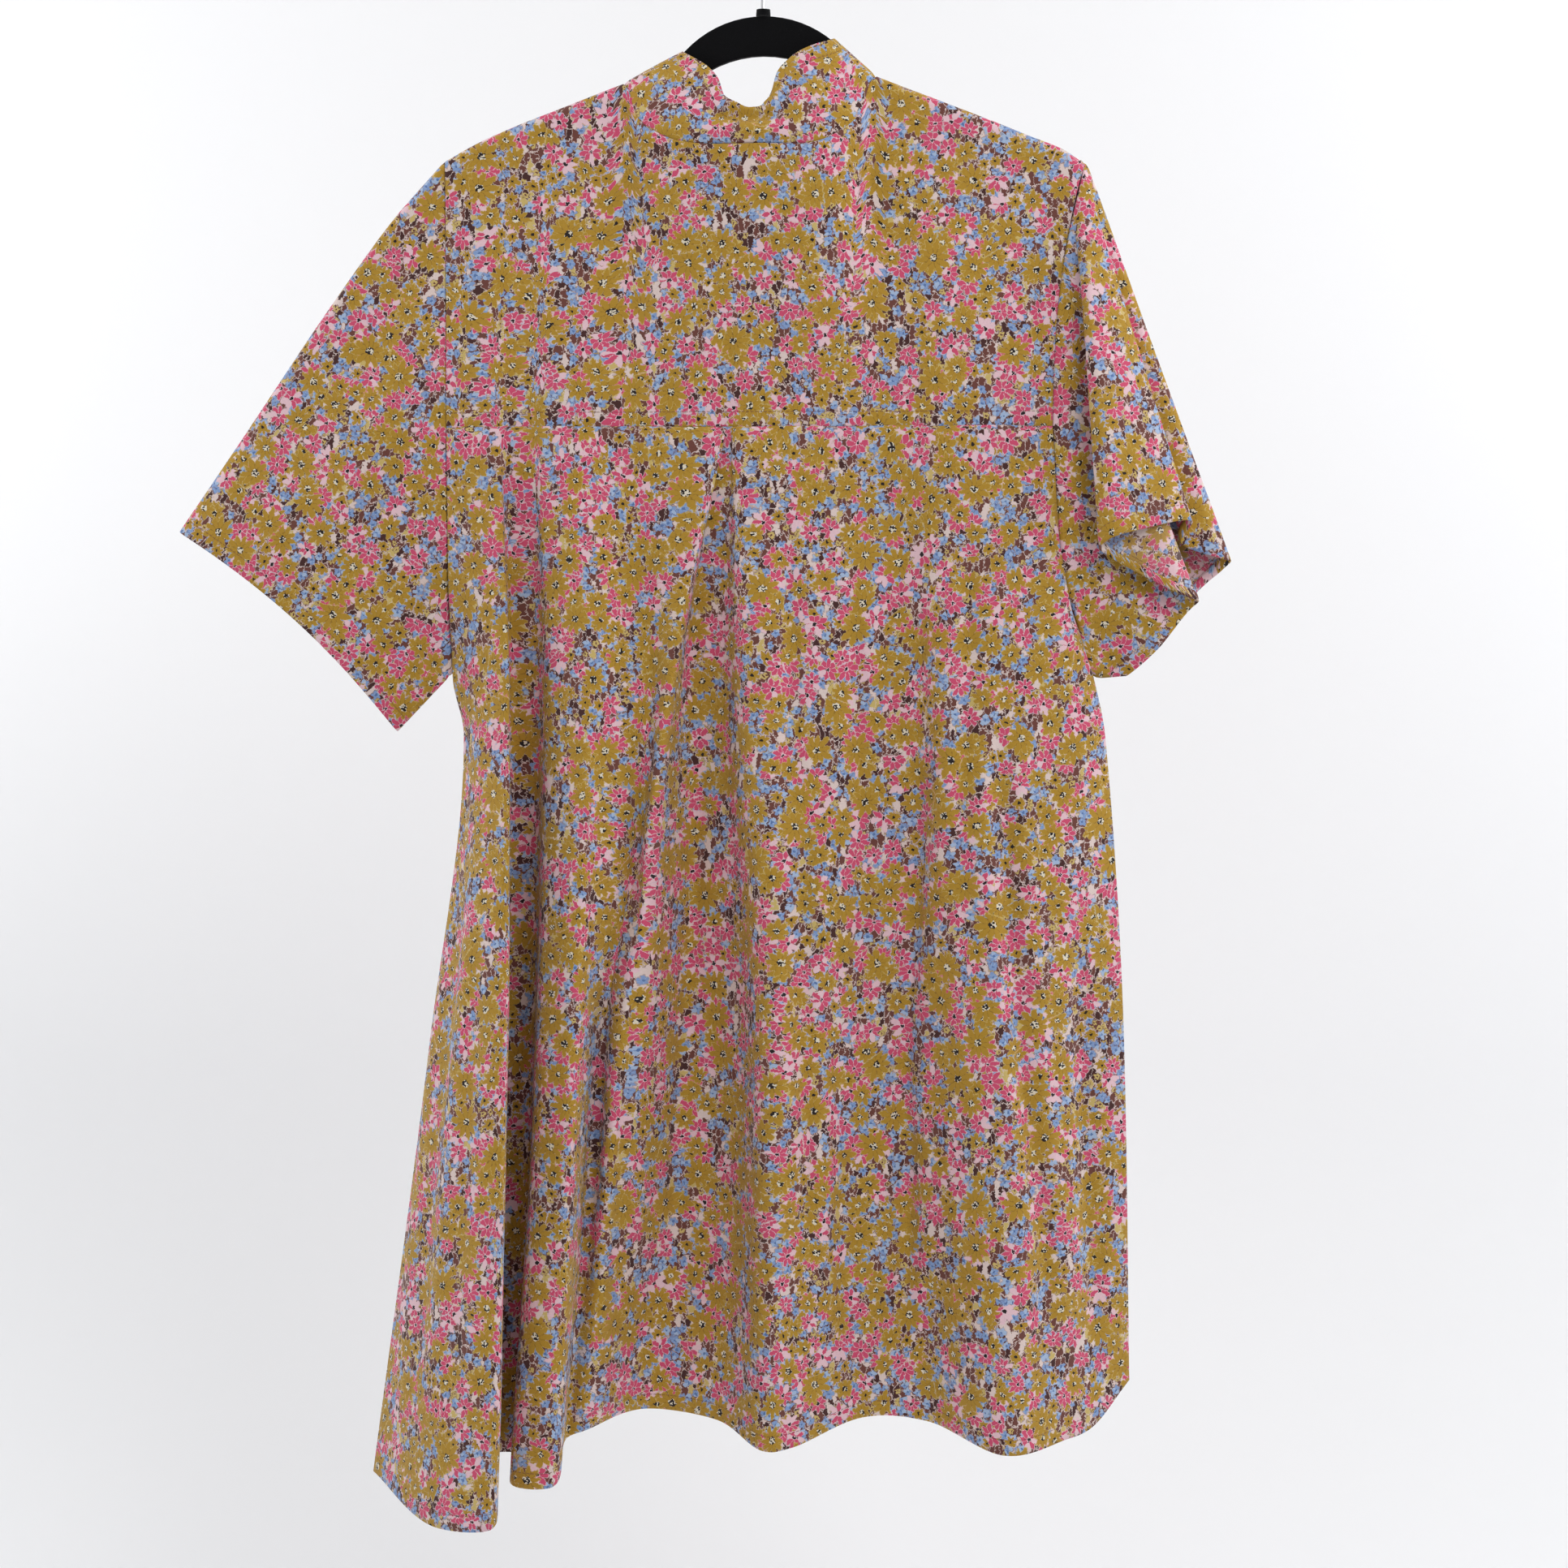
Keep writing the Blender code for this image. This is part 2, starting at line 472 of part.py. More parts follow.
def make_hanger(flock, steel):
    half = hanger_outline()
    outline = half + [(-x, z) for x, z in reversed(half[1:-1])]
    curve = bpy.data.curves.new("hanger_body", "CURVE")
    curve.dimensions = "2D"
    curve.fill_mode = "BOTH"
    curve.extrude = HANGER_HALF_THICKNESS - HANGER_EDGE_ROUND
    curve.bevel_depth = HANGER_EDGE_ROUND
    curve.bevel_resolution = 1
    curve.offset = -HANGER_EDGE_ROUND
    spline = curve.splines.new("POLY")
    spline.points.add(len(outline) - 1)
    for point, (x, z) in zip(spline.points, outline):
        point.co = (x, z, 0.0, 1.0)
    spline.use_cyclic_u = True
    body = add_object("hanger_body", curve, flock)
    body.rotation_euler = (math.pi / 2, 0.0, 0.0)

    cap = bmesh.new()
    bmesh.ops.create_cone(cap, cap_ends=True, segments=24, radius1=FERRULE_RADIUS,
                          radius2=FERRULE_RADIUS * 0.94, depth=FERRULE_HEIGHT)
    mesh = bpy.data.meshes.new("hanger_ferrule")
    cap.to_mesh(mesh)
    cap.free()
    ferrule = add_object("hanger_ferrule", mesh, flock)
    ferrule.location = (0.0, 0.0, CROWN_TOP_Z + SEAM_GAP + FERRULE_HEIGHT / 2)

    wire = bpy.data.curves.new("hanger_hook", "CURVE")
    wire.dimensions = "3D"
    wire.bevel_depth = WIRE_RADIUS
    wire.bevel_resolution = 2
    wire.use_fill_caps = True
    centre_z = WIRE_RADIUS - HOOK_RADIUS
    stem_foot = CROWN_TOP_Z + 2 * SEAM_GAP + FERRULE_HEIGHT
    path = [(0.0, stem_foot), (0.0, -0.068), (0.0, HOOK_STEM_TOP_Z), (-0.0032, -0.0470)]
    path += [(HOOK_RADIUS * math.cos(math.radians(a)), centre_z + HOOK_RADIUS * math.sin(math.radians(a)))
             for a in spread(222.0, -28.0, 20)]
    spline = wire.splines.new("POLY")
    spline.points.add(len(path) - 1)
    for point, (x, z) in zip(spline.points, path):
        point.co = (x, 0.0, z, 1.0)
    add_object("hanger_hook", wire, steel)


BACK_SKIRT = Skirt(BACK_FOLDS, -1)
FRONT_SKIRT = Skirt(FRONT_FOLDS, 1)


def make_material(name, color, roughness, metallic=0.0):
    material = bpy.data.materials.new(name)
    material.use_nodes = True
    surface = material.node_tree.nodes["Principled BSDF"]
    surface.inputs["Base Color"].default_value = color
    surface.inputs["Roughness"].default_value = roughness
    surface.inputs["Metallic"].default_value = metallic
    material.diffuse_color = color
    return material


def main():
    for thing in list(bpy.data.objects):
        bpy.data.objects.remove(thing, do_unlink=True)
    collection = bpy.data.collections.new(COLLECTION_NAME)
    bpy.context.scene.collection.children.link(collection)
    cotton = make_material("printed_cotton", COTTON, 0.85)
    flock = make_material("black_flock", FLOCK, 0.95)
    steel = make_material("plated_wire", STEEL, 0.3, 1.0)
    make_back(cotton)
    make_front(cotton)
    make_collar(cotton)
    make_left_sleeve(cotton)
    make_right_sleeve(cotton)
    make_hanger(flock, steel)


main()
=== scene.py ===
import math
from collections import namedtuple

import bmesh
import bpy
import numpy as np
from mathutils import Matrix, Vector, noise


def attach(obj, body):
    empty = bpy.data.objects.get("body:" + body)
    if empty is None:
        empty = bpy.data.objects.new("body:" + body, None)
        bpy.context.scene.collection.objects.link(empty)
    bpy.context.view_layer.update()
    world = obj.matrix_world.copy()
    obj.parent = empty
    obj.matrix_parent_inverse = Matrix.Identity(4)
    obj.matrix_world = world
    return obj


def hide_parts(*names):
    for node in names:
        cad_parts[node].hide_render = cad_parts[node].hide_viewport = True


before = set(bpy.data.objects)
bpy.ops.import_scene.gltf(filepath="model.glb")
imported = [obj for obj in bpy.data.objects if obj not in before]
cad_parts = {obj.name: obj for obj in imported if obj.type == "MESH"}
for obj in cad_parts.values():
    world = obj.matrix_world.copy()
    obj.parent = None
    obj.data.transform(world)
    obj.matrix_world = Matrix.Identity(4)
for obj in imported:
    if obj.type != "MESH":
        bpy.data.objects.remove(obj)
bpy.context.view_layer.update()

scene = bpy.context.scene
scene.view_settings.view_transform = "Standard"

cloth = {
    "thickness": 0.0006,
    "seamTuck": 0.0007,      # how deep the cloth dips into a seam
    "seamWidth": 0.0022,
    "hemWidth": 0.010,
    "hemGap": 0.0008,        # between the cloth and its turned-up hem
    "tuckReach": 0.0040,     # seam allowance under the next piece
    "tuckDepth": 0.0014,
    "sideCalm": 0.012,
}
levels = {"yokeSeam": -0.340, "skirtDrop": 0.640, "rightHem": -0.950}
foldLevels = (0.0, 0.258, 0.620, 1.0)
shoulderRoll = 0.0056
yokeShare = 0.51


# Curves that the cloth is laid along

def fairCurve(places, values, monotone=False):
    place, value = np.array(places, float), np.array(values, float)
    step = np.diff(place)[:, None]
    slope = np.diff(value, axis=0) / step
    tangent = np.empty_like(value)
    tangent[0], tangent[-1] = slope[0], slope[-1]
    before, after = slope[:-1], slope[1:]
    if monotone:
        same = before * after > 0
        tangent[1:-1] = np.where(same, 2 * before * after / np.where(same, before + after, 1), 0)
    else:
        tangent[1:-1] = (before * step[1:] + after * step[:-1]) / (step[:-1] + step[1:])

    def at(where):
        spots = np.clip(np.atleast_1d(np.asarray(where, float)), place[0], place[-1])
        i = np.clip(np.searchsorted(place, spots, "right") - 1, 0, len(place) - 2)
        h = (place[i + 1] - place[i])[:, None]
        t = (spots - place[i])[:, None] / h
        line = ((1 + 2 * t) * (1 - t) ** 2 * value[i] + t * (1 - t) ** 2 * h * tangent[i]
                + t * t * (3 - 2 * t) * value[i + 1] + t * t * (t - 1) * h * tangent[i + 1])
        return line if np.ndim(where) else line[0]
    return at


def edgeCurve(rows, monotone=False):
    return fairCurve([row[0] for row in rows], [row[1:] for row in rows], monotone)


def smoothStep(value, low, high):
    t = np.clip((np.asarray(value, float) - low) / (high - low), 0, 1)
    return t * t * (3 - 2 * t)


# The folds, from the left side to the right, as the cloth hangs

Fold = namedtuple("Fold", "name yokeX yokeY hipX hipY thighX thighY hemX hemY hemZ")
backFolds = [
    Fold("flareCrest", -0.187, -0.016, -0.176, -0.025, -0.183, -0.060, -0.195, -0.102, -1.022),
    Fold("flareEdge", -0.171, -0.018, -0.160, -0.036, -0.157, -0.076, -0.159, -0.119, -1.017),
    Fold("deepValley", -0.157, -0.0155, -0.157, -0.007, -0.162, -0.010, -0.170, -0.031, -0.994),
    Fold("valleySide", -0.148, -0.0160, -0.147, -0.009, -0.151, -0.009, -0.159, -0.030, -0.994),
    Fold("secondRidge", -0.138, -0.018, -0.132, -0.027, -0.138, -0.050, -0.152, -0.076, -1.002),
    Fold("secondCrest", -0.122, -0.021, -0.110, -0.038, -0.117, -0.060, -0.128, -0.079, -1.002),
    Fold("ridgeFoot", -0.081, -0.018, -0.070, -0.022, -0.100, -0.026, -0.124, -0.040, -0.982),
    Fold("pleatFlap", -0.030, -0.0215, -0.057, -0.034, -0.085, -0.040, -0.110, -0.038, -0.976),
    Fold("pleatFloor", -0.023, -0.0200, -0.046, -0.008, -0.046, 0.004, -0.074, 0.000, -0.972),
    Fold("pleatSide", -0.019, -0.0200, -0.025, -0.012, -0.017, -0.010, -0.030, -0.015, -0.974),
    Fold("pleatRidge", -0.014, -0.0215, -0.005, -0.035, 0.006, -0.043, 0.002, -0.050, -0.984),
    Fold("backCentre", 0.012, -0.021, 0.025, -0.030, 0.033, -0.034, 0.022, -0.045, -0.983),
    Fold("shallowValley", 0.047, -0.020, 0.057, -0.024, 0.053, -0.022, 0.063, -0.020, -0.970),
    Fold("rightValley", 0.082, -0.017, 0.095, -0.013, 0.087, -0.008, 0.105, -0.013, -0.973),
    Fold("rightRidge", 0.113, -0.020, 0.117, -0.027, 0.140, -0.036, 0.154, -0.050, -0.984),
    Fold("rightFlat", 0.148, -0.018, 0.169, -0.022, 0.181, -0.024, 0.192, -0.025, -0.981),
    Fold("rightEdge", 0.171, -0.015, 0.199, -0.013, 0.210, -0.010, 0.215, -0.005, -0.974),
]
frontFolds = [
    Fold("frontSideLeft", -0.165, 0.017, -0.163, 0.024, -0.178, 0.034, -0.204, 0.034, -0.992),
    Fold("frontValleyLeft", -0.120, 0.014, -0.118, 0.012, -0.128, 0.012, -0.146, 0.004, -0.978),
    Fold("frontRidgeLeft", -0.070, 0.019, -0.068, 0.028, -0.070, 0.044, -0.084, 0.056, -0.984),
    Fold("frontHollow", -0.028, 0.016, -0.030, 0.018, -0.026, 0.020, -0.028, 0.022, -0.972),
    Fold("frontCentre", 0.016, 0.017, 0.018, 0.026, 0.026, 0.038, 0.030, 0.050, -0.980),
    Fold("frontValleyRight", 0.062, 0.015, 0.070, 0.015, 0.082, 0.018, 0.090, 0.022, -0.970),
    Fold("frontRidgeRight", 0.104, 0.018, 0.118, 0.028, 0.136, 0.046, 0.148, 0.058, -0.980),
    Fold("frontSideRight", 0.150, 0.015, 0.171, 0.018, 0.190, 0.024, 0.204, 0.034, -0.968),
]
Side = namedtuple("Side", "name drop z leftX leftY rightX rightY halfDepth")
sideLevels = [
    Side("yokeSeam", 0.000, -0.3400, -0.2005, 0.000, 0.1822, 0.000, 0.0130),
    Side("chest", 0.139, -0.4287, -0.2005, 0.000, 0.1884, 0.000, 0.0100),
    Side("underarm", 0.246, -0.4980, -0.1995, 0.000, 0.2090, 0.000, 0.0011),
    Side("belowArm", 0.305, -0.5350, -0.1925, 0.000, 0.2165, 0.000, 0.0011),
    Side("thigh", 0.620, -0.7370, -0.2155, -0.006, 0.2301, 0.001, 0.0011),
    Side("hem", 1.000, -1.0080, -0.2494, -0.030, 0.2351, 0.010, 0.0011),
]
leftShoulder = [(0.0, -0.0885, 0.0, -0.1240), (0.75, -0.1755, 0.0, -0.1582), (1.0, -0.2016, 0.0, -0.1712)]
rightShoulder = [(0.0, 0.0716, 0.0, -0.1211), (0.75, 0.1680, 0.0, -0.1587),
                 (0.9, 0.1880, 0.0, -0.1668), (1.0, 0.2022, 0.0, -0.1768)]
backNeck = [(0.0, -0.0885, 0.000, -0.1240), (0.03, -0.0862, -0.0048, -0.1262), (0.10, -0.0800, -0.0120, -0.1445),
            (0.20, -0.0670, -0.0180, -0.1560), (0.55, -0.0025, -0.0240, -0.1649), (0.80, 0.0460, -0.0200, -0.1590),
            (0.90, 0.0625, -0.0120, -0.1440), (0.97, 0.0690, -0.0050, -0.1230), (1.0, 0.0716, 0.000, -0.1211)]
frontNeck = [(0.0, -0.0885, 0.000, -0.1240), (0.025, -0.0862, 0.0048, -0.1262), (0.10, -0.0745, 0.0095, -0.1480),
             (0.5, -0.0040, 0.0130, -0.2690), (0.90, 0.0590, 0.0095, -0.1460), (0.975, 0.0690, 0.0050, -0.1230),
             (1.0, 0.0716, 0.000, -0.1211)]


def sideLine(side, face):
    rows = []
    for level in sideLevels:
        x, y = (level.leftX, level.leftY) if side == "left" else (level.rightX, level.rightY)
        z = levels["rightHem"] if side == "right" and level.name == "hem" else level.z
        rows.append((x, y + face * level.halfDepth, z))
    return fairCurve([level.drop for level in sideLevels], rows, monotone=True)


def foldLine(fold):
    heights = [levels["yokeSeam"] - levels["skirtDrop"] * level for level in foldLevels[:3]] + [fold.hemZ]
    rows = [(fold.yokeX, fold.yokeY, heights[0]), (fold.hipX, fold.hipY, heights[1]),
            (fold.thighX, fold.thighY, heights[2]), (fold.hemX, fold.hemY, heights[3])]
    return fairCurve(foldLevels, rows, monotone=True)


class Skirt:
    def __init__(self, folds, face):
        self.face = face
        self.lines = [sideLine("left", face)] + [foldLine(fold) for fold in folds] + [sideLine("right", face)]
        lengths = np.zeros(len(self.lines) - 1)
        for level in foldLevels:
            points = np.array([line(level) for line in self.lines])
            lengths += np.linalg.norm(np.diff(points, axis=0), axis=1)
        self.across = np.concatenate([[0], np.cumsum(lengths)]) / lengths.sum()
        self.foot = fairCurve(self.across, [line(0.0) for line in self.lines], monotone=True)
        self.neckEnds = [self.acrossAt(leftShoulder[0][1]), self.acrossAt(rightShoulder[0][1])]

    def row(self, drop, columns):
        if drop <= 0:
            return self.foot(columns)
        return fairCurve(self.across, [line(drop) for line in self.lines])(columns)

    def acrossAt(self, x):
        low, high = 0.0, 1.0
        while high - low > 0.00001:
            middle = (low + high) / 2
            low, high = (middle, high) if self.foot(middle)[0] < x else (low, middle)
        return low


leftLine, rightLine = edgeCurve(leftShoulder, True), edgeCurve(rightShoulder, True)


def bodiceColumn(skirt, neck, across, downs):
    foot = skirt.foot(across)
    leftEnd, rightEnd = skirt.neckEnds
    lean = 2.4
    if across <= leftEnd:
        top = leftLine(1 - across / leftEnd)
    elif across >= rightEnd:
        top = rightLine((across - rightEnd) / (1 - rightEnd))
    else:
        top = neck((foot[0] - leftShoulder[0][1]) / (rightShoulder[0][1] - leftShoulder[0][1]))
        lean = 1.3
    bend = shoulderRoll * max(0.0, 1 - abs(top[1]) / shoulderRoll)
    run = np.asarray(downs) * ((top[2] - foot[2]) + bend * (math.pi / 2 - 1))
    quarter = bend * math.pi / 2
    turn = np.minimum(run, quarter) / max(bend, 1e-9)
    out = np.where(run < quarter, bend * np.sin(turn), bend)
    fall = np.where(run < quarter, bend * (1 - np.cos(turn)), bend + run - quarter)
    y = top[1] + skirt.face * out + (foot[1] - top[1] - skirt.face * bend) * smoothStep(downs, 0, 1)
    x = foot[0] + (top[0] - foot[0]) * (1 - np.asarray(downs)) ** lean
    return np.stack([x, y, top[2] - fall], axis=1)


backSkirt, frontSkirt = Skirt(backFolds, -1), Skirt(frontFolds, 1)
print("folds laid out")


def armhole(side, share):
    skirt = backSkirt if share <= 1 else frontSkirt
    low = min(share, 2 - share)
    if low < yokeShare:
        return bodiceColumn(skirt, None, 0.0 if side == "left" else 1.0, [low / yokeShare])[0]
    return sideLine(side, skirt.face)((low - yokeShare) / (1 - yokeShare) * sideLevels[2].drop)


def sleeveStart(side, share):
    point = armhole(side, share)
    low = min(share, 2 - share)
    gap = 0.0006 + 0.0014 * low ** 2
    point[0] += gap if side == "right" else -gap
    if low == 0:
        point[1] = 0.0
    under = max(0.0, (low - 0.90) / 0.10)
    if under > 0:
        point[1] = math.copysign(max(abs(point[1]), 0.0040) * math.sqrt(1 - under ** 2.5), share - 1)
    return point


# A piece of cloth: a grid of points, creased, hemmed and given its thickness

Crease = namedtuple("Crease", "name x z endX endZ width depth")
Ripple = namedtuple("Ripple", "name path width depth")    # path: x at each height z, from the top down


def gridNormals(points, closed):
    down = np.gradient(points, axis=0)
    if closed:
        ring = points[:, :-1]
        side = np.roll(ring, -1, axis=1) - np.roll(ring, 1, axis=1)
        side = np.concatenate([side, side[:, :1]], axis=1)
    else:
        side = np.gradient(points, axis=1)
    normal = np.cross(side, down)
    return normal / np.maximum(np.linalg.norm(normal, axis=2, keepdims=True), 1e-12)


def rippleDepth(points, ripples):
    depth = np.zeros(points.shape[:2])
    for ripple in ripples:
        top, low = -ripple.path[0][1], -ripple.path[-1][1]
        line = fairCurve([-z for x, z in ripple.path], [(x,) for x, z in ripple.path])
        fall = -points[:, :, 2]
        away = abs(points[:, :, 0] - line(fall.ravel()).reshape(fall.shape)) / ripple.width
        shape = np.exp(-away ** 2) - 0.40 * np.exp(-((away - 2.1) / 1.1) ** 2)
        reach = 0.25 * (low - top)
        depth += ripple.depth * shape * smoothStep(fall, top, top + reach) * (1 - smoothStep(fall, low - reach, low))
    return depth


def creaseDepth(points, creases):
    depth = np.zeros(points.shape[:2])
    for crease in creases:
        start, end = np.array((crease.x, crease.z)), np.array((crease.endX, crease.endZ))
        spot = points[:, :, (0, 2)] - start
        run = end - start
        along = np.clip((spot @ run) / (run @ run), 0, 1)
        away = np.linalg.norm(spot - along[..., None] * run, axis=2)
        depth += crease.depth * np.exp(-(away / crease.width) ** 2) * np.sin(math.pi * (0.08 + 0.84 * along)) ** 0.7
    return depth


def softWaves(points, seed, size, depth):
    waves = np.empty(points.shape[:2])
    for i in range(points.shape[0]):
        for j in range(points.shape[1]):
            x, y, z = points[i, j]
            waves[i, j] = noise.noise(Vector((x / size + seed, y / size * 0.5, z / size * 0.45)))
    return waves * depth


def runningLength(points, axis):
    steps = np.linalg.norm(np.diff(points, axis=axis), axis=2)
    return np.concatenate([np.zeros_like(np.take(steps, [0], axis=axis)), np.cumsum(steps, axis=axis)], axis=axis)


def gridMesh(points):
    rows, columns = points.shape[:2]
    grid = bmesh.new()
    bmesh.ops.create_grid(grid, x_segments=columns - 1, y_segments=rows - 1, size=0.5)
    places = [(round((vert.co.y + 0.5) * (rows - 1)), round((vert.co.x + 0.5) * (columns - 1))) for vert in grid.verts]
    for vert, place in zip(grid.verts, places):
        vert.co = points[place]
    grid.faces.ensure_lookup_table()
    return grid, places


def laidFlat(points, coarse=32):
    rows, columns = points.shape[:2]
    pickRows = np.unique(np.linspace(0, rows - 1, min(rows, coarse)).round().astype(int))
    pickColumns = np.unique(np.linspace(0, columns - 1, min(columns, coarse)).round().astype(int))
    grid, places = gridMesh(points[np.ix_(pickRows, pickColumns)])
    grid.loops.layers.uv.new("flat")
    mesh = bpy.data.meshes.new("flatCut")
    grid.to_mesh(mesh)
    grid.free()
    cut = bpy.data.objects.new("flatCut", mesh)
    scene.collection.objects.link(cut)
    bpy.context.view_layer.objects.active = cut
    cut.select_set(True)
    bpy.ops.object.mode_set(mode="EDIT")
    bpy.ops.mesh.select_all(action="SELECT")
    bpy.ops.uv.unwrap(method="MINIMUM_STRETCH", iterations=20, margin=0.0)
    bpy.ops.object.mode_set(mode="OBJECT")
    flat = np.zeros((len(pickRows), len(pickColumns), 2))
    for loop in mesh.loops:
        flat[places[loop.vertex_index]] = mesh.uv_layers["flat"].data[loop.index].uv
    solidArea = sum(face.area for face in mesh.polygons)
    bpy.data.objects.remove(cut)
    bpy.data.meshes.remove(mesh)
    middle = flat.shape[1] // 2
    grain = flat[-1, middle] - flat[0, middle]
    grain /= np.linalg.norm(grain)
    turned = np.stack([flat @ np.array((-grain[1], grain[0])), -(flat @ grain)], axis=2)
    if turned[0, -1, 0] < turned[0, 0, 0]:
        turned[:, :, 0] *= -1
    a, b = turned[1:, :-1] - turned[:-1, :-1], turned[:-1, 1:] - turned[:-1, :-1]
    c, d = turned[1:, :-1] - turned[1:, 1:], turned[:-1, 1:] - turned[1:, 1:]
    flatArea = (abs(a[..., 0] * b[..., 1] - a[..., 1] * b[..., 0]) + abs(c[..., 0] * d[..., 1] - c[..., 1] * d[..., 0])).sum() / 2
    turned = (turned - turned[0, middle]) * math.sqrt(solidArea / flatArea)
    spread = np.empty((rows, len(pickColumns), 2))
    for k in range(len(pickColumns)):
        for axis in (0, 1):
            spread[:, k, axis] = np.interp(np.arange(rows), pickRows, turned[:, k, axis])
    full = np.empty((rows, columns, 2))
    for i in range(rows):
        for axis in (0, 1):
            full[i, :, axis] = np.interp(np.arange(columns), pickColumns, spread[i, :, axis])
    return full


def makeCloth(name, points, facing, creases=(), ripples=(), seams=(), waves=(0.05, 0.0008), hem=None, closed=False,
              tuck=None, seed=1.0, shift=(0.0, 0.0)):
    points = np.array(points)
    flat = laidFlat(points) + np.array(shift)
    normals = gridNormals(points, closed)
    if facing == "tube":
        outward = points - points.mean(axis=1, keepdims=True)
    else:
        outward = np.broadcast_to(np.array(facing, float), points.shape)
    flip = (normals * outward).sum() < 0
    if flip:
        normals = -normals
    across, down = runningLength(points, 1), runningLength(points, 0)
    depth = creaseDepth(points, creases) + rippleDepth(points, ripples) + softWaves(points, seed, *waves)
    if not closed:                             # side seams stay together
        depth *= smoothStep(np.minimum(across, across[:, -1:] - across), 0.0, cloth["sideCalm"])
    edges = {"top": down, "bottom": down[-1:] - down, "left": across, "right": across[:, -1:] - across}
    for seam in seams:
        depth -= cloth["seamTuck"] * np.exp(-(edges[seam] / cloth["seamWidth"]) ** 1.5)
    if closed:
        depth[:, -1] = depth[:, 0]
    points = points + normals * depth[..., None]
    if closed:
        points[:, -1] = points[:, 0]
    edge = np.stack([across, down[-1:] - down], axis=2)
    if hem:                                    # the turned-up allowance, inside
        normals = gridNormals(points, closed) * (-1 if flip else 1)
        turned = [points[-1 - k] - normals[-1 - k] * hem["gap"] * (0.55 if k == 0 else 1.0) for k in range(hem["rows"] + 1)]
        turned[0] = turned[0] + (points[-1] - points[-2]) * 0.10
        points = np.concatenate([points, turned])
        flat = np.concatenate([flat, [2 * flat[-1] - flat[-1 - k] for k in range(hem["rows"] + 1)]])
        edge = np.concatenate([edge, [edge[-1 - k] + (0.0, 0.05) for k in range(hem["rows"] + 1)]])
    if tuck is not None:                       # the allowance that goes under the next piece
        back = points[0] - points[1]
        back /= np.maximum(np.linalg.norm(back, axis=1, keepdims=True), 1e-9)
        share = np.broadcast_to(np.asarray(tuck, float), (points.shape[1],))[:, None]
        under = [points[0] + (back * cloth["tuckReach"] * k - normals[0] * cloth["tuckDepth"] * min(1.0, 1.6 * k)) * share
                 for k in (1.0, 0.35)]
        points = np.concatenate([under, points])
        flat = np.concatenate([[2 * flat[0] - flat[2], 2 * flat[0] - flat[1]], flat])
        edge = np.concatenate([[edge[0], edge[0]], edge])
    grid, places = gridMesh(points)
    uv, edgeUv = grid.loops.layers.uv.new("print"), grid.loops.layers.uv.new("edge")
    for face in grid.faces:
        face.smooth = True
        for loop in face.loops:
            loop[uv].uv = flat[places[loop.vert.index]]
            loop[edgeUv].uv = edge[places[loop.vert.index]]
    face = grid.faces[len(grid.faces) // 3]
    face.normal_update()
    i, j = places[face.verts[0].index]
    if face.normal.dot(Vector(normals[min(i, len(normals) - 1), j])) < 0:
        bmesh.ops.reverse_faces(grid, faces=grid.faces)
    if closed:
        bmesh.ops.remove_doubles(grid, verts=grid.verts, dist=0.000005)
    mesh = bpy.data.meshes.new(name)
    grid.to_mesh(mesh)
    grid.free()
    piece = bpy.data.objects.new(name, mesh)
    scene.collection.objects.link(piece)
    mesh.materials.append(printedCotton)
    mesh.materials.append(cottonInside)
    wall = piece.modifiers.new("thickness", "SOLIDIFY")
    wall.thickness = cloth["thickness"]
    wall.offset = 0.0
    wall.material_offset = 1
    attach(piece, "root")
    print(name, points.shape[:2], round(sum(face.area for face in mesh.polygons), 4), "square metres, cut",
          np.ptp(flat.reshape(-1, 2), axis=0).round(3))
    return piece


def evenly(start, stop, count):
    return np.linspace(start, stop, count + 1)


# Materials

def linear(red, green, blue):
    return tuple((c / 255 / 12.92 if c <= 10 else ((c / 255 + 0.055) / 1.055) ** 2.4) for c in (red, green, blue)) + (1.0,)


class Nodes:
    def __init__(self, tree):
        self.tree = tree

    def add(self, kind, **settings):
        node = self.tree.nodes.new(kind)
        for key, value in settings.items():
            setattr(node, key, value)
        return node

    def join(self, socket, value):
        if hasattr(value, "links"):
            self.tree.links.new(value, socket)
        elif value is not None:
            socket.default_value = value

    def math(self, operation, a, b=None, c=None, clamp=False):
        node = self.add("ShaderNodeMath", operation=operation, use_clamp=clamp)
        for socket, value in zip(node.inputs, (a, b, c)):
            self.join(socket, value)
        return node.outputs[0]

    def vector(self, operation, a, b=None, scale=None):
        node = self.add("ShaderNodeVectorMath", operation=operation)
        self.join(node.inputs[0], a)
        if b is not None:
            self.join(node.inputs[1], b)
        if scale is not None:
            self.join(node.inputs["Scale"], scale)
        return node.outputs["Value"] if operation in ("LENGTH", "DOT_PRODUCT") else node.outputs["Vector"]

    def mix(self, factor, a, b, kind="MIX"):
        node = self.add("ShaderNodeMix", data_type="RGBA", blend_type=kind)
        self.join(node.inputs["Factor"], factor)
        self.join(node.inputs[6], a)
        self.join(node.inputs[7], b)
        return node.outputs[2]

    def split(self, value):
        node = self.add("ShaderNodeSeparateXYZ")
        self.join(node.inputs[0], value)
        return node.outputs


def makeGroup(name, inputs, outputs):
    tree = bpy.data.node_groups.new(name, "ShaderNodeTree")
    for label, kind in inputs:
        tree.interface.new_socket(label, in_out="INPUT", socket_type=kind)
    for label, kind in outputs:
        tree.interface.new_socket(label, in_out="OUTPUT", socket_type=kind)
    nodes = Nodes(tree)
    return nodes, nodes.add("NodeGroupInput").outputs, nodes.add("NodeGroupOutput").inputs


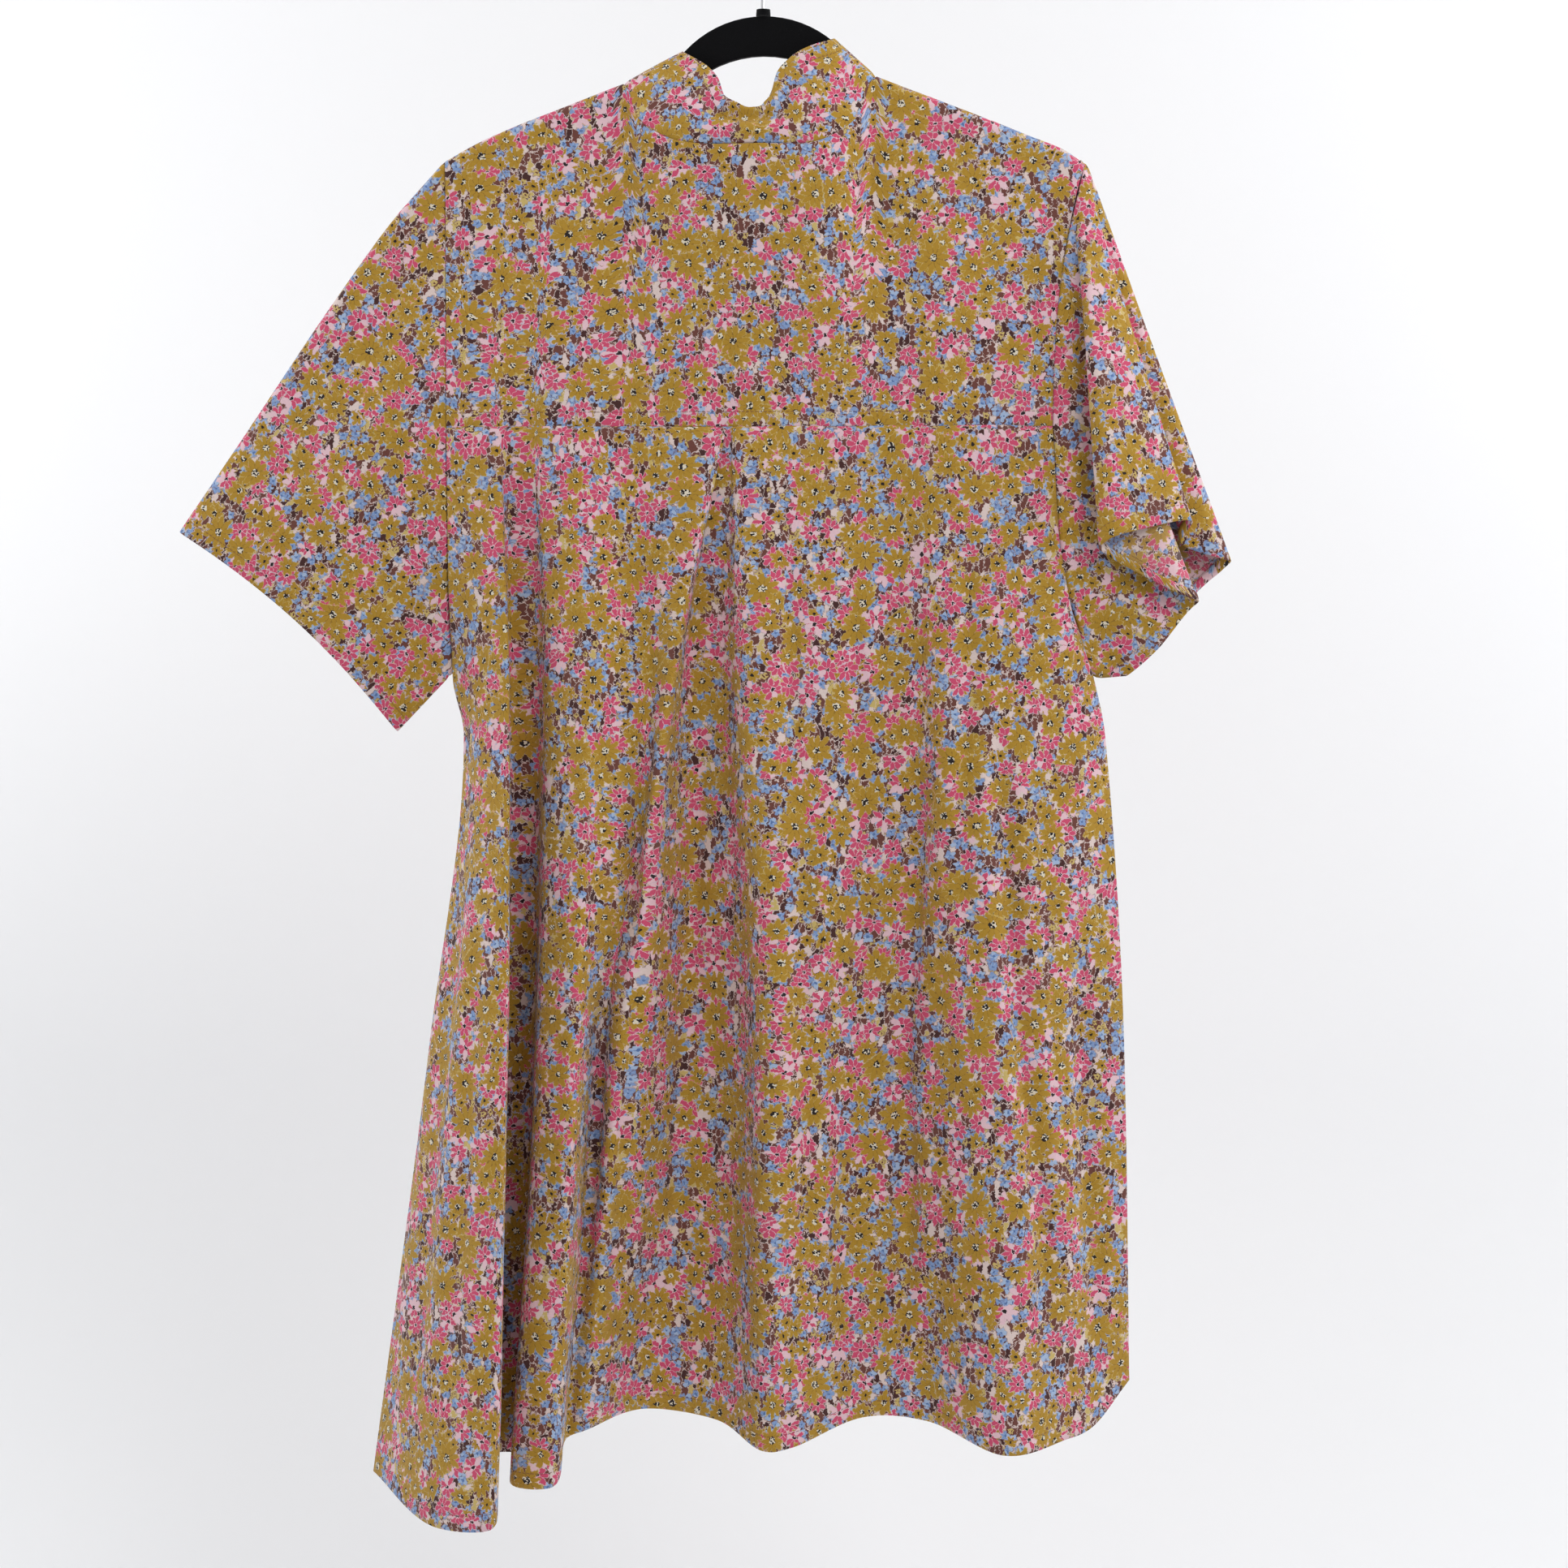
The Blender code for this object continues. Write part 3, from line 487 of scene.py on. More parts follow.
def makeBlossomGroup():
    nodes, given, out = makeGroup(
        "blossom",
        [("Place", "NodeSocketVector"), ("Spacing", "NodeSocketFloat"), ("Radius", "NodeSocketFloat"),
         ("Petals", "NodeSocketFloat"), ("Pointed", "NodeSocketFloat"), ("Chance", "NodeSocketFloat")],
        [("Flower", "NodeSocketFloat"), ("Outline", "NodeSocketFloat"), ("Gap", "NodeSocketFloat"),
         ("Distance", "NodeSocketFloat"), ("Petal", "NodeSocketFloat"), ("Own", "NodeSocketFloat")])
    place = nodes.vector("SCALE", given["Place"], scale=nodes.math("DIVIDE", 1.0, given["Spacing"]))
    cells = nodes.add("ShaderNodeTexVoronoi", voronoi_dimensions="2D", feature="F1")
    cells.inputs["Scale"].default_value = 1.0
    cells.inputs["Randomness"].default_value = 0.85
    nodes.join(cells.inputs["Vector"], place)
    away = nodes.vector("SCALE", nodes.vector("SUBTRACT", place, cells.outputs["Position"]), scale=given["Spacing"])
    chance = nodes.split(cells.outputs["Color"])
    x, y = nodes.split(away)[0], nodes.split(away)[1]
    flat = nodes.add("ShaderNodeCombineXYZ")
    nodes.join(flat.inputs[0], x)
    nodes.join(flat.inputs[1], y)
    distance = nodes.vector("LENGTH", flat.outputs[0])
    turn = nodes.math("ADD", nodes.math("DIVIDE", nodes.math("ARCTAN2", y, x), 2 * math.pi), chance[0])
    count = nodes.math("MULTIPLY", turn, given["Petals"])
    between = nodes.math("MULTIPLY", nodes.math("ABSOLUTE", nodes.math("SUBTRACT", nodes.math("FRACT", count), 0.5)), 2.0)
    size = nodes.math("MULTIPLY", given["Radius"], nodes.math("MULTIPLY_ADD", chance[1], 0.34, 0.73))
    petalSeed = nodes.add("ShaderNodeTexWhiteNoise", noise_dimensions="2D")
    seedPlace = nodes.add("ShaderNodeCombineXYZ")
    nodes.join(seedPlace.inputs[0], nodes.math("FLOOR", count))
    nodes.join(seedPlace.inputs[1], nodes.math("MULTIPLY", chance[0], 37.0))
    nodes.join(petalSeed.inputs["Vector"], seedPlace.outputs[0])
    ragged = nodes.math("MULTIPLY_ADD", petalSeed.outputs["Value"], 0.28, 0.86)
    edge = nodes.math("MULTIPLY", nodes.math("MULTIPLY", size, ragged), nodes.math(
        "SUBTRACT", 1.0, nodes.math("MULTIPLY", given["Pointed"], nodes.math("POWER", between, 1.45))))
    shown = nodes.math("LESS_THAN", chance[2], given["Chance"])
    border = nodes.add("ShaderNodeTexVoronoi", voronoi_dimensions="2D", feature="DISTANCE_TO_EDGE")
    border.inputs["Scale"].default_value = 1.0
    border.inputs["Randomness"].default_value = 0.85
    nodes.join(border.inputs["Vector"], place)
    room = nodes.math("MULTIPLY_ADD", border.outputs["Distance"], given["Spacing"], -0.38)
    inside = nodes.math("MINIMUM", nodes.math("SUBTRACT", edge, distance), room)
    nodes.join(out["Flower"], nodes.math("MULTIPLY", shown, nodes.math("MULTIPLY_ADD", inside, 4.0, 0.5, clamp=True)))
    outline = nodes.math("MULTIPLY_ADD", nodes.math("ADD", inside, 0.66), 4.0, 0.5, clamp=True)
    nodes.join(out["Outline"], nodes.math("MULTIPLY", shown, outline))
    nodes.join(out["Gap"], between)
    nodes.join(out["Distance"], distance)
    nodes.join(out["Petal"], petalSeed.outputs["Value"])
    nodes.join(out["Own"], chance[1])
    return nodes.tree


blossomGroup = makeBlossomGroup()

floral = {
    "mustard": linear(178, 138, 44), "mustardDark": linear(150, 112, 36), "mustardPale": linear(205, 180, 110),
    "pink": linear(208, 78, 112), "pinkPale": linear(232, 196, 204), "pinkDeep": linear(180, 62, 92),
    "blue": linear(132, 158, 204), "bluePale": linear(168, 188, 218), "blueDeep": linear(92, 120, 170),
    "brown": linear(110, 64, 56), "brownDark": linear(70, 38, 36), "cream": linear(226, 206, 200),
    "ink": linear(34, 26, 28), "chalk": linear(228, 218, 196),
}


def makePrintGroup():
    nodes, given, out = makeGroup("floralPrint", [("Place", "NodeSocketVector")], [("Color", "NodeSocketColor")])
    drawn = nodes.add("ShaderNodeTexNoise", noise_dimensions="2D")   # unsteady edges, as if drawn by hand
    drawn.inputs["Scale"].default_value = 0.55
    drawn.inputs["Detail"].default_value = 2.0
    nodes.join(drawn.inputs["Vector"], given["Place"])
    wander = nodes.vector("SCALE", nodes.vector("SUBTRACT", drawn.outputs["Color"], (0.5, 0.5, 0.5)), scale=2.4)
    place = nodes.vector("ADD", given["Place"], wander)

    leaves = nodes.add("ShaderNodeTexVoronoi", voronoi_dimensions="2D", feature="F1")
    leaves.inputs["Scale"].default_value = 0.29
    stretched = nodes.vector("MULTIPLY", nodes.vector("ADD", place, nodes.vector(
        "SCALE", nodes.vector("SUBTRACT", drawn.outputs["Color"], (0.5, 0.5, 0.5)), scale=1.6)), (1.0, 0.48, 1.0))
    nodes.join(leaves.inputs["Vector"], stretched)
    kind = nodes.split(leaves.outputs["Color"])[0]
    color = nodes.mix(nodes.math("GREATER_THAN", kind, 0.80), floral["brown"], floral["cream"])
    color = nodes.mix(nodes.math("LESS_THAN", kind, 0.26), color, floral["brownDark"])
    color = nodes.mix(nodes.math("GREATER_THAN", kind, 0.93), color, floral["mustardPale"])
    veins = nodes.add("ShaderNodeTexVoronoi", voronoi_dimensions="2D", feature="DISTANCE_TO_EDGE")
    veins.inputs["Scale"].default_value = 0.29
    nodes.join(veins.inputs["Vector"], stretched)
    color = nodes.mix(nodes.math("MULTIPLY", nodes.math("LESS_THAN", veins.outputs["Distance"], 0.060), 0.85), color, floral["cream"])

    def blossom(spacing, radius, petals, pointed, chance, shift):
        node = nodes.add("ShaderNodeGroup", node_tree=blossomGroup)
        nodes.join(node.inputs["Place"], nodes.vector("ADD", place, shift))
        for label, value in (("Spacing", spacing), ("Radius", radius), ("Petals", petals),
                             ("Pointed", pointed), ("Chance", chance)):
            node.inputs[label].default_value = value
        return node.outputs

    def layer(color, flower, petal, outline, outlineShare):
        color = nodes.mix(nodes.math("MULTIPLY", flower["Outline"], outlineShare), color, outline)
        return nodes.mix(flower["Flower"], color, petal)

    def centre(color, flower, radius, dotColor):
        dot = nodes.math("MULTIPLY", flower["Flower"], nodes.math("LESS_THAN", flower["Distance"], radius))
        return nodes.mix(dot, color, dotColor)

    flower = blossom(6.2, 2.3, 5.0, 0.45, 0.34, (31.0, 7.0, 0.0))    # small ochre flowers
    color = layer(color, flower, floral["mustardPale"], floral["brown"], 0.6)
    color = centre(color, flower, 0.6, floral["brown"])

    for shift in ((4.0, 52.0, 0.0), (93.0, 15.0, 0.0)):               # blue blossoms in loose clusters
        flower = blossom(6.8, 3.7, 5.0, 0.42, 0.37, shift)
        petal = nodes.mix(nodes.math("GREATER_THAN", flower["Petal"], 0.66), floral["blue"], floral["bluePale"])
        petal = nodes.mix(nodes.math("GREATER_THAN", flower["Gap"], 0.86), petal, floral["bluePale"])
        color = layer(color, flower, petal, floral["brown"], 0.45)
        color = centre(color, flower, 0.8, floral["blueDeep"])

    flower = blossom(10.0, 4.9, 7.0, 0.46, 0.38, (17.0, 88.0, 0.0))   # small mustard flowers
    petal = nodes.mix(nodes.math("GREATER_THAN", flower["Gap"], 0.85), floral["mustard"], floral["mustardDark"])
    color = layer(color, flower, petal, floral["cream"], 0.7)
    color = centre(color, flower, 0.9, floral["ink"])

    flower = blossom(13.0, 7.5, 8.0, 0.48, 0.60, (61.0, 23.0, 0.0))   # pink daisies, a petal or two pale
    petal = nodes.mix(nodes.math("GREATER_THAN", flower["Petal"], 0.82), floral["pink"], floral["pinkPale"])
    petal = nodes.mix(nodes.math("GREATER_THAN", flower["Gap"], 0.88), petal, floral["pinkPale"])
    heart = nodes.math("LESS_THAN", flower["Distance"], nodes.math("MULTIPLY_ADD", flower["Petal"], 1.0, 1.0))
    petal = nodes.mix(heart, petal, floral["pinkPale"])
    color = layer(color, flower, petal, floral["pinkPale"], 0.85)
    color = centre(color, flower, nodes.math("MULTIPLY_ADD", flower["Petal"], 1.0, 0.5), floral["ink"])

    speckle = nodes.add("ShaderNodeTexVoronoi", voronoi_dimensions="2D", feature="F1")
    speckle.inputs["Scale"].default_value = 1.25
    nodes.join(speckle.inputs["Vector"], given["Place"])
    spot = nodes.math("LESS_THAN", nodes.split(speckle.outputs["Color"])[0], 0.55)
    speckled = nodes.mix(spot, floral["chalk"], floral["ink"])
    for spacing, radius, petals, chance, middle, shift in (
            (14.5, 7.6, 8.0, 0.36, 1.3, (8.0, 140.0, 0.0)), (25.0, 10.2, 10.0, 0.45, 1.9, (119.0, 61.0, 0.0))):
        flower = blossom(spacing, radius, petals, 0.46, chance, shift)            # mustard daisies
        petal = nodes.mix(nodes.math("MULTIPLY", nodes.math("GREATER_THAN", flower["Gap"], 0.84), nodes.math(
            "LESS_THAN", flower["Distance"], radius * 0.62)), floral["mustard"], floral["mustardDark"])
        color = layer(color, flower, petal, floral["mustardPale"], 0.8)
        ring = nodes.math("LESS_THAN", flower["Distance"], nodes.math("MULTIPLY_ADD", flower["Petal"], 0.9, middle))
        color = nodes.mix(nodes.math("MULTIPLY", flower["Flower"], ring), color, speckled)
    nodes.join(out["Color"], color)
    return nodes.tree


printGroup = makePrintGroup()

cottonLook = {"roughness": 0.86, "thread": 0.00042, "bump": 0.00012, "inkMottle": 0.10, "insidePale": 0.08}


def makeCotton(name, pale):
    material = bpy.data.materials.new(name)
    material.use_nodes = True
    nodes = Nodes(material.node_tree)
    surface = material.node_tree.nodes["Principled BSDF"]
    surface.inputs["Sheen Weight"].default_value = 0.12
    surface.inputs["Sheen Roughness"].default_value = 0.6
    surface.inputs["Specular IOR Level"].default_value = 0.25
    uv = nodes.add("ShaderNodeUVMap", uv_map="print").outputs[0]
    printed = nodes.add("ShaderNodeGroup", node_tree=printGroup)
    nodes.join(printed.inputs["Place"], nodes.vector("SCALE", uv, scale=1000.0))
    threads = []
    for turn in (0, 1):                        # warp and weft
        wave = nodes.add("ShaderNodeTexWave", wave_type="BANDS", bands_direction="XY"[turn], wave_profile="SIN")
        wave.inputs["Scale"].default_value = 1 / cottonLook["thread"] / 20 * math.pi
        wave.inputs["Distortion"].default_value = 0.6
        wave.inputs["Detail"].default_value = 1.0
        nodes.join(wave.inputs["Vector"], uv)
        threads.append(wave.outputs["Fac"])
    weave = nodes.math("MULTIPLY", threads[0], threads[1])
    mottle = nodes.add("ShaderNodeTexNoise", noise_dimensions="2D")
    mottle.inputs["Scale"].default_value = 900.0
    mottle.inputs["Detail"].default_value = 3.0
    nodes.join(mottle.inputs["Vector"], uv)
    shade = nodes.math("MULTIPLY_ADD", mottle.outputs["Fac"], cottonLook["inkMottle"] * 2, 1 - cottonLook["inkMottle"])
    color = nodes.mix(1.0, printed.outputs["Color"], shade, kind="MULTIPLY")
    if pale:
        color = nodes.mix(pale, color, floral["cream"])
    edge = nodes.add("ShaderNodeUVMap", uv_map="edge").outputs[0]
    fromHem = nodes.split(edge)[1]
    alongHem = nodes.split(edge)[0]
    stitchLine = nodes.math("LESS_THAN", nodes.math("ABSOLUTE", nodes.math("SUBTRACT", fromHem, 0.0092)), 0.00035)
    dash = nodes.math("LESS_THAN", nodes.math("FRACT", nodes.math("DIVIDE", alongHem, 0.0028)), 0.72)
    stitch = nodes.math("MULTIPLY", stitchLine, dash)
    color = nodes.mix(nodes.math("MULTIPLY", stitch, 0.55), color, floral["brown"])
    nodes.join(surface.inputs["Base Color"], color)
    crumple = nodes.add("ShaderNodeTexNoise", noise_dimensions="2D")
    crumple.inputs["Scale"].default_value = 140.0
    crumple.inputs["Detail"].default_value = 4.0
    nodes.join(crumple.inputs["Vector"], uv)
    height = nodes.math("ADD", nodes.math("MULTIPLY", weave, 0.35), nodes.math("MULTIPLY", crumple.outputs["Fac"], 2.2))
    height = nodes.math("SUBTRACT", height, nodes.math("MULTIPLY", stitch, 1.6))
    bump = nodes.add("ShaderNodeBump")
    bump.inputs["Strength"].default_value = 0.7
    bump.inputs["Distance"].default_value = cottonLook["bump"]
    nodes.join(bump.inputs["Height"], height)
    nodes.join(surface.inputs["Normal"], bump.outputs[0])
    rough = nodes.math("MULTIPLY_ADD", mottle.outputs["Fac"], 0.12, cottonLook["roughness"] - 0.06)
    nodes.join(surface.inputs["Roughness"], rough)
    return material


printedCotton = makeCotton("printedCotton", 0.0)
cottonInside = makeCotton("printedCottonInside", cottonLook["insidePale"])
print("materials made")


# The back: yoke and pleated panel

backPanel = {
    "rows": 184, "columns": 250,
    "creases": [
        Crease("flapFlutter", -0.070, -0.480, -0.098, -0.700, 0.010, 0.0016),
        Crease("rightSlack", 0.045, -0.690, 0.052, -0.900, 0.016, -0.0022),
        Crease("rightSlackLow", 0.012, -0.740, 0.004, -0.930, 0.011, 0.0014),
        Crease("sideSlack", 0.205, -0.660, 0.212, -0.900, 0.012, -0.0020),
        Crease("underarmPull", 0.196, -0.520, 0.150, -0.640, 0.014, -0.0022),
        Crease("underarmPullLow", 0.205, -0.600, 0.172, -0.760, 0.012, 0.0014),
        Crease("yokePull", 0.110, -0.345, 0.118, -0.470, 0.009, -0.0014),
        Crease("yokePullSecond", 0.060, -0.345, 0.064, -0.430, 0.007, -0.0010),
        Crease("flareRipple", -0.205, -0.700, -0.222, -0.960, 0.012, 0.0022),
        Crease("flareRippleLow", -0.186, -0.560, -0.198, -0.760, 0.009, -0.0014),
    ],
    "ripples": [
        Ripple("besideCentre", [(0.0300, -0.560), (0.0260, -0.680), (0.0300, -0.780), (0.0270, -0.900)], 0.0060, -0.0034),
        Ripple("farFromCentre", [(0.1020, -0.520), (0.0970, -0.640), (0.0900, -0.740), (0.0920, -0.830), (0.0860, -0.960)],
               0.0060, -0.0040),
        Ripple("rightSlant", [(0.1470, -0.500), (0.1560, -0.620), (0.1660, -0.740), (0.1800, -0.870), (0.1790, -0.965)],
               0.0060, -0.0040),
        Ripple("rightEdge", [(0.1980, -0.640), (0.2060, -0.780), (0.2120, -0.900), (0.2130, -0.960)], 0.0055, -0.0026),
        Ripple("rightHigh", [(0.1260, -0.380), (0.1320, -0.480), (0.1280, -0.600), (0.1320, -0.700)], 0.0055, -0.0024),
        Ripple("middleHigh", [(0.0560, -0.400), (0.0600, -0.520), (0.0640, -0.640), (0.0620, -0.760)], 0.0060, -0.0026),
        Ripple("middleLow", [(0.0620, -0.760), (0.0560, -0.860), (0.0600, -0.972)], 0.0070, -0.0026),
        Ripple("centreHigh", [(0.0120, -0.380), (0.0200, -0.480), (0.0180, -0.600)], 0.0060, -0.0020),
        Ripple("flapLeft", [(-0.0980, -0.460), (-0.1000, -0.600), (-0.1040, -0.760), (-0.1120, -0.940)], 0.0060, -0.0026),
        Ripple("flapMiddle", [(-0.0760, -0.560), (-0.0800, -0.700), (-0.0880, -0.820), (-0.0960, -0.950)], 0.0055, -0.0030),
        Ripple("floorLine", [(-0.0400, -0.520), (-0.0460, -0.660), (-0.0540, -0.790), (-0.0520, -0.950)], 0.0055, -0.0022),
        Ripple("flareLeft", [(-0.1900, -0.600), (-0.1990, -0.720), (-0.2100, -0.860), (-0.2200, -1.000)], 0.0055, -0.0028),
        Ripple("flareMiddle", [(-0.1740, -0.620), (-0.1800, -0.760), (-0.1860, -0.900), (-0.1860, -1.010)], 0.0055, -0.0020),
    ],
}


def panelPoints(skirt, rows, columns):
    places = np.concatenate([evenly(0, 0.5, columns // 2)[:-1], evenly(0.5, 1, columns - columns // 2)])
    return np.array([skirt.row(drop, places) for drop in rows])


rows = np.concatenate([[0.0, 0.002, 0.005], evenly(0.009, 1.0, backPanel["rows"])])
backPanelPiece = makeCloth("back_panel_cloth", panelPoints(backSkirt, rows, backPanel["columns"]), (0, -1, 0),
                           backPanel["creases"], backPanel["ripples"], seams=("top",), hem={"rows": 3, "gap": cloth["hemGap"]},
                           tuck=1.0, seed=3.1, waves=(0.045, 0.0010))
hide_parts("back_panel")

backYoke = {
    "rows": 80, "columns": 190,
    "creases": [
        Crease("bladeValley", -0.083, -0.175, -0.082, -0.330, 0.010, -0.0016),
        Crease("bladeRidge", -0.066, -0.185, -0.064, -0.300, 0.012, 0.0008),
        Crease("armholeSlack", 0.172, -0.240, 0.176, -0.336, 0.007, -0.0012),
        Crease("neckPull", 0.056, -0.168, 0.086, -0.250, 0.010, -0.0012),
        Crease("neckPullLeft", -0.060, -0.172, -0.104, -0.236, 0.010, -0.0008),
        Crease("middleSlack", 0.020, -0.230, 0.010, -0.335, 0.016, -0.0008),
    ],
}


def bodicePoints(skirt, neck, downs, shoulder, neckCount):
    leftEnd, rightEnd = skirt.neckEnds
    leftX, rightX = leftShoulder[0][1], rightShoulder[0][1]
    shares = np.concatenate([[0.012, 0.03, 0.045, 0.06, 0.08], evenly(0.10, 0.90, neckCount),
                             [0.92, 0.94, 0.955, 0.97, 0.988]])
    middle = [skirt.acrossAt(leftX + (rightX - leftX) * share) for share in shares]
    places = list(evenly(0, leftEnd, shoulder)) + middle + list(evenly(rightEnd, 1, shoulder))
    return places, np.stack([bodiceColumn(skirt, neck, place, downs) for place in places], axis=1)


yokeDowns = np.concatenate([[0.0, 0.003, 0.007, 0.013, 0.02, 0.028, 0.037, 0.047, 0.058],
                            evenly(0.07, 0.99, backYoke["rows"]), [0.995, 1.0]])
yokePlaces, yokePoints = bodicePoints(backSkirt, edgeCurve(backNeck), yokeDowns, 45, 90)
backYokePiece = makeCloth("back_yoke_cloth", yokePoints, (0, -1, 0), backYoke["creases"], seams=("top", "bottom"),
                          seed=7.7, waves=(0.05, 0.0007), shift=(0.311, 0.207))
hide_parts("back_yoke")

# The front, one piece from the shoulders to the hem

frontPanel = {
    "bodiceRows": 70, "skirtRows": 130,
    "creases": [
        Crease("bustSlackLeft", -0.120, -0.220, -0.096, -0.420, 0.014, -0.0020),
        Crease("bustSlackRight", 0.112, -0.215, 0.098, -0.430, 0.014, 0.0020),
        Crease("underarmPullLeft", -0.180, -0.470, -0.120, -0.600, 0.013, -0.0022),
        Crease("underarmPullRight", 0.190, -0.480, 0.140, -0.620, 0.013, 0.0020),
        Crease("hemRippleLeft", -0.190, -0.760, -0.210, -0.960, 0.014, 0.0022),
        Crease("hemRippleMiddle", 0.000, -0.720, -0.006, -0.940, 0.014, -0.0020),
        Crease("hemRippleRight", 0.176, -0.740, 0.184, -0.930, 0.012, 0.0018),
        Crease("chestSlack", 0.050, -0.290, 0.044, -0.470, 0.010, -0.0014),
    ],
    "ripples": [
        Ripple("leftLong", [(-0.1000, -0.420), (-0.1040, -0.620), (-0.1080, -0.800), (-0.1200, -0.970)], 0.0065, -0.0032),
        Ripple("leftEdge", [(-0.1660, -0.560), (-0.1780, -0.740), (-0.1940, -0.960)], 0.0060, -0.0028),
        Ripple("middleLeft", [(-0.0460, -0.380), (-0.0420, -0.560), (-0.0500, -0.760), (-0.0540, -0.960)], 0.0060, -0.0030),
        Ripple("middleRight", [(0.0380, -0.460), (0.0440, -0.640), (0.0520, -0.800), (0.0560, -0.960)], 0.0065, -0.0032),
        Ripple("rightLong", [(0.1280, -0.440), (0.1420, -0.640), (0.1560, -0.820), (0.1720, -0.960)], 0.0060, -0.0034),
        Ripple("rightEdge", [(0.1760, -0.580), (0.1880, -0.760), (0.2000, -0.940)], 0.0055, -0.0024),
    ],
}
frontDowns = np.concatenate([[0.0, 0.003, 0.007, 0.013, 0.02, 0.028, 0.037, 0.047, 0.058],
                             evenly(0.07, 1.0, frontPanel["bodiceRows"])])
frontPlaces, upperFront = bodicePoints(frontSkirt, edgeCurve(frontNeck), frontDowns, 45, 80)
lowerFront = np.array([frontSkirt.row(drop, frontPlaces) for drop in evenly(0, 1, frontPanel["skirtRows"])[1:]])
frontPiece = makeCloth("front_panel_cloth", np.concatenate([upperFront, lowerFront]), (0, 1, 0),
                       frontPanel["creases"], frontPanel["ripples"], seams=("top",), hem={"rows": 2, "gap": cloth["hemGap"]},
                       tuck=[1.0 if place <= frontSkirt.neckEnds[0] or place >= frontSkirt.neckEnds[1] else 0.02
                             for place in frontPlaces], seed=12.4, waves=(0.05, 0.0010), shift=(0.733, 0.119))
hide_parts("front_panel")

# The collar, a soft band whose free edge rolls over inward

Collar = namedtuple("Collar", "place x y z")
collarEdge = [
    Collar(0.00, -0.0080, 0.0170, -0.2560), Collar(0.16, -0.0160, 0.0190, -0.1960),
    Collar(0.26, -0.0400, 0.0110, -0.1280), Collar(0.30, -0.0490, 0.0046, -0.1065),
    Collar(0.32, -0.0514, 0.0000, -0.1045), Collar(0.34, -0.0490, -0.0046, -0.1062),
    Collar(0.40, -0.0322, -0.0110, -0.1175), Collar(0.425, -0.0272, -0.0138, -0.1240),
    Collar(0.446, -0.0236, -0.0160, -0.1340), Collar(0.462, -0.0196, -0.0172, -0.1376),
    Collar(0.505, -0.0062, -0.0190, -0.1424), Collar(0.538, 0.0040, -0.0176, -0.1384),
    Collar(0.550, 0.0068, -0.0166, -0.1320), Collar(0.570, 0.0098, -0.0150, -0.1208),
    Collar(0.60, 0.0176, -0.0120, -0.1112), Collar(0.68, 0.0425, -0.0046, -0.0990),
    Collar(0.70, 0.0449, 0.0000, -0.0978), Collar(0.72, 0.0430, 0.0046, -0.1000),
    Collar(0.76, 0.0330, 0.0110, -0.1240), Collar(0.85, 0.0080, 0.0190, -0.1960),
    Collar(1.00, 0.0000, 0.0170, -0.2560),
]
collarBand = {
    "rows": 22, "columns": 200, "backShare": (0.32, 0.70), "lift": 0.0010, "bulge": 0.0030,
    "creases": [
        Crease("dipFoldLeft", -0.030, -0.128, -0.052, -0.150, 0.005, 0.0012),
        Crease("dipFoldRight", 0.024, -0.120, 0.046, -0.148, 0.005, 0.0012),
        Crease("lipShade", -0.032, -0.1465, 0.014, -0.1485, 0.0042, -0.0046),
        Crease("lipShadeLeft", -0.050, -0.128, -0.026, -0.147, 0.0034, -0.0018),
        Crease("lipShadeRight", 0.026, -0.122, 0.008, -0.148, 0.0034, -0.0018),
        Crease("lipRoll", -0.024, -0.1390, 0.008, -0.1400, 0.0026, 0.0022),
    ],
}
freeEdge, backSeam, frontSeam = edgeCurve(collarEdge), edgeCurve(backNeck), edgeCurve(frontNeck)


def collarSeam(place):
    left, right = collarBand["backShare"]
    if place < left:
        return frontSeam(0.5 * (1 - place / left))
    if place > right:
        return frontSeam(1 - 0.5 * (place - right) / (1 - right))
    return backSeam((place - left) / (right - left))


def collarPoints():
    left, right = collarBand["backShare"]
    places = evenly(0.015, 0.985, collarBand["columns"])
    columns = []
    for place in places:
        seam, edge = collarSeam(place), freeEdge(place)
        seam = seam + (edge - seam) / np.linalg.norm(edge - seam) * collarBand["lift"]
        heights = evenly(0, 1, collarBand["rows"])[:, None]
        column = seam + (edge - seam) * heights
        back = min(max((place - left) / (right - left), 0.0), 1.0)
        column[:, 1] -= collarBand["bulge"] * np.sin(math.pi * heights[:, 0]) * math.sin(math.pi * back)
        columns.append(column)
    return np.stack(columns, axis=1)


collarPiece = makeCloth("collar_cloth", collarPoints(), "tube", collarBand["creases"], seams=("top",),
                        hem={"rows": 9, "gap": 0.0016}, tuck=1.0, seed=21.0, waves=(0.03, 0.0006), shift=(0.149, 0.451))
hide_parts("collar_stand")

# The left sleeve, hanging flat

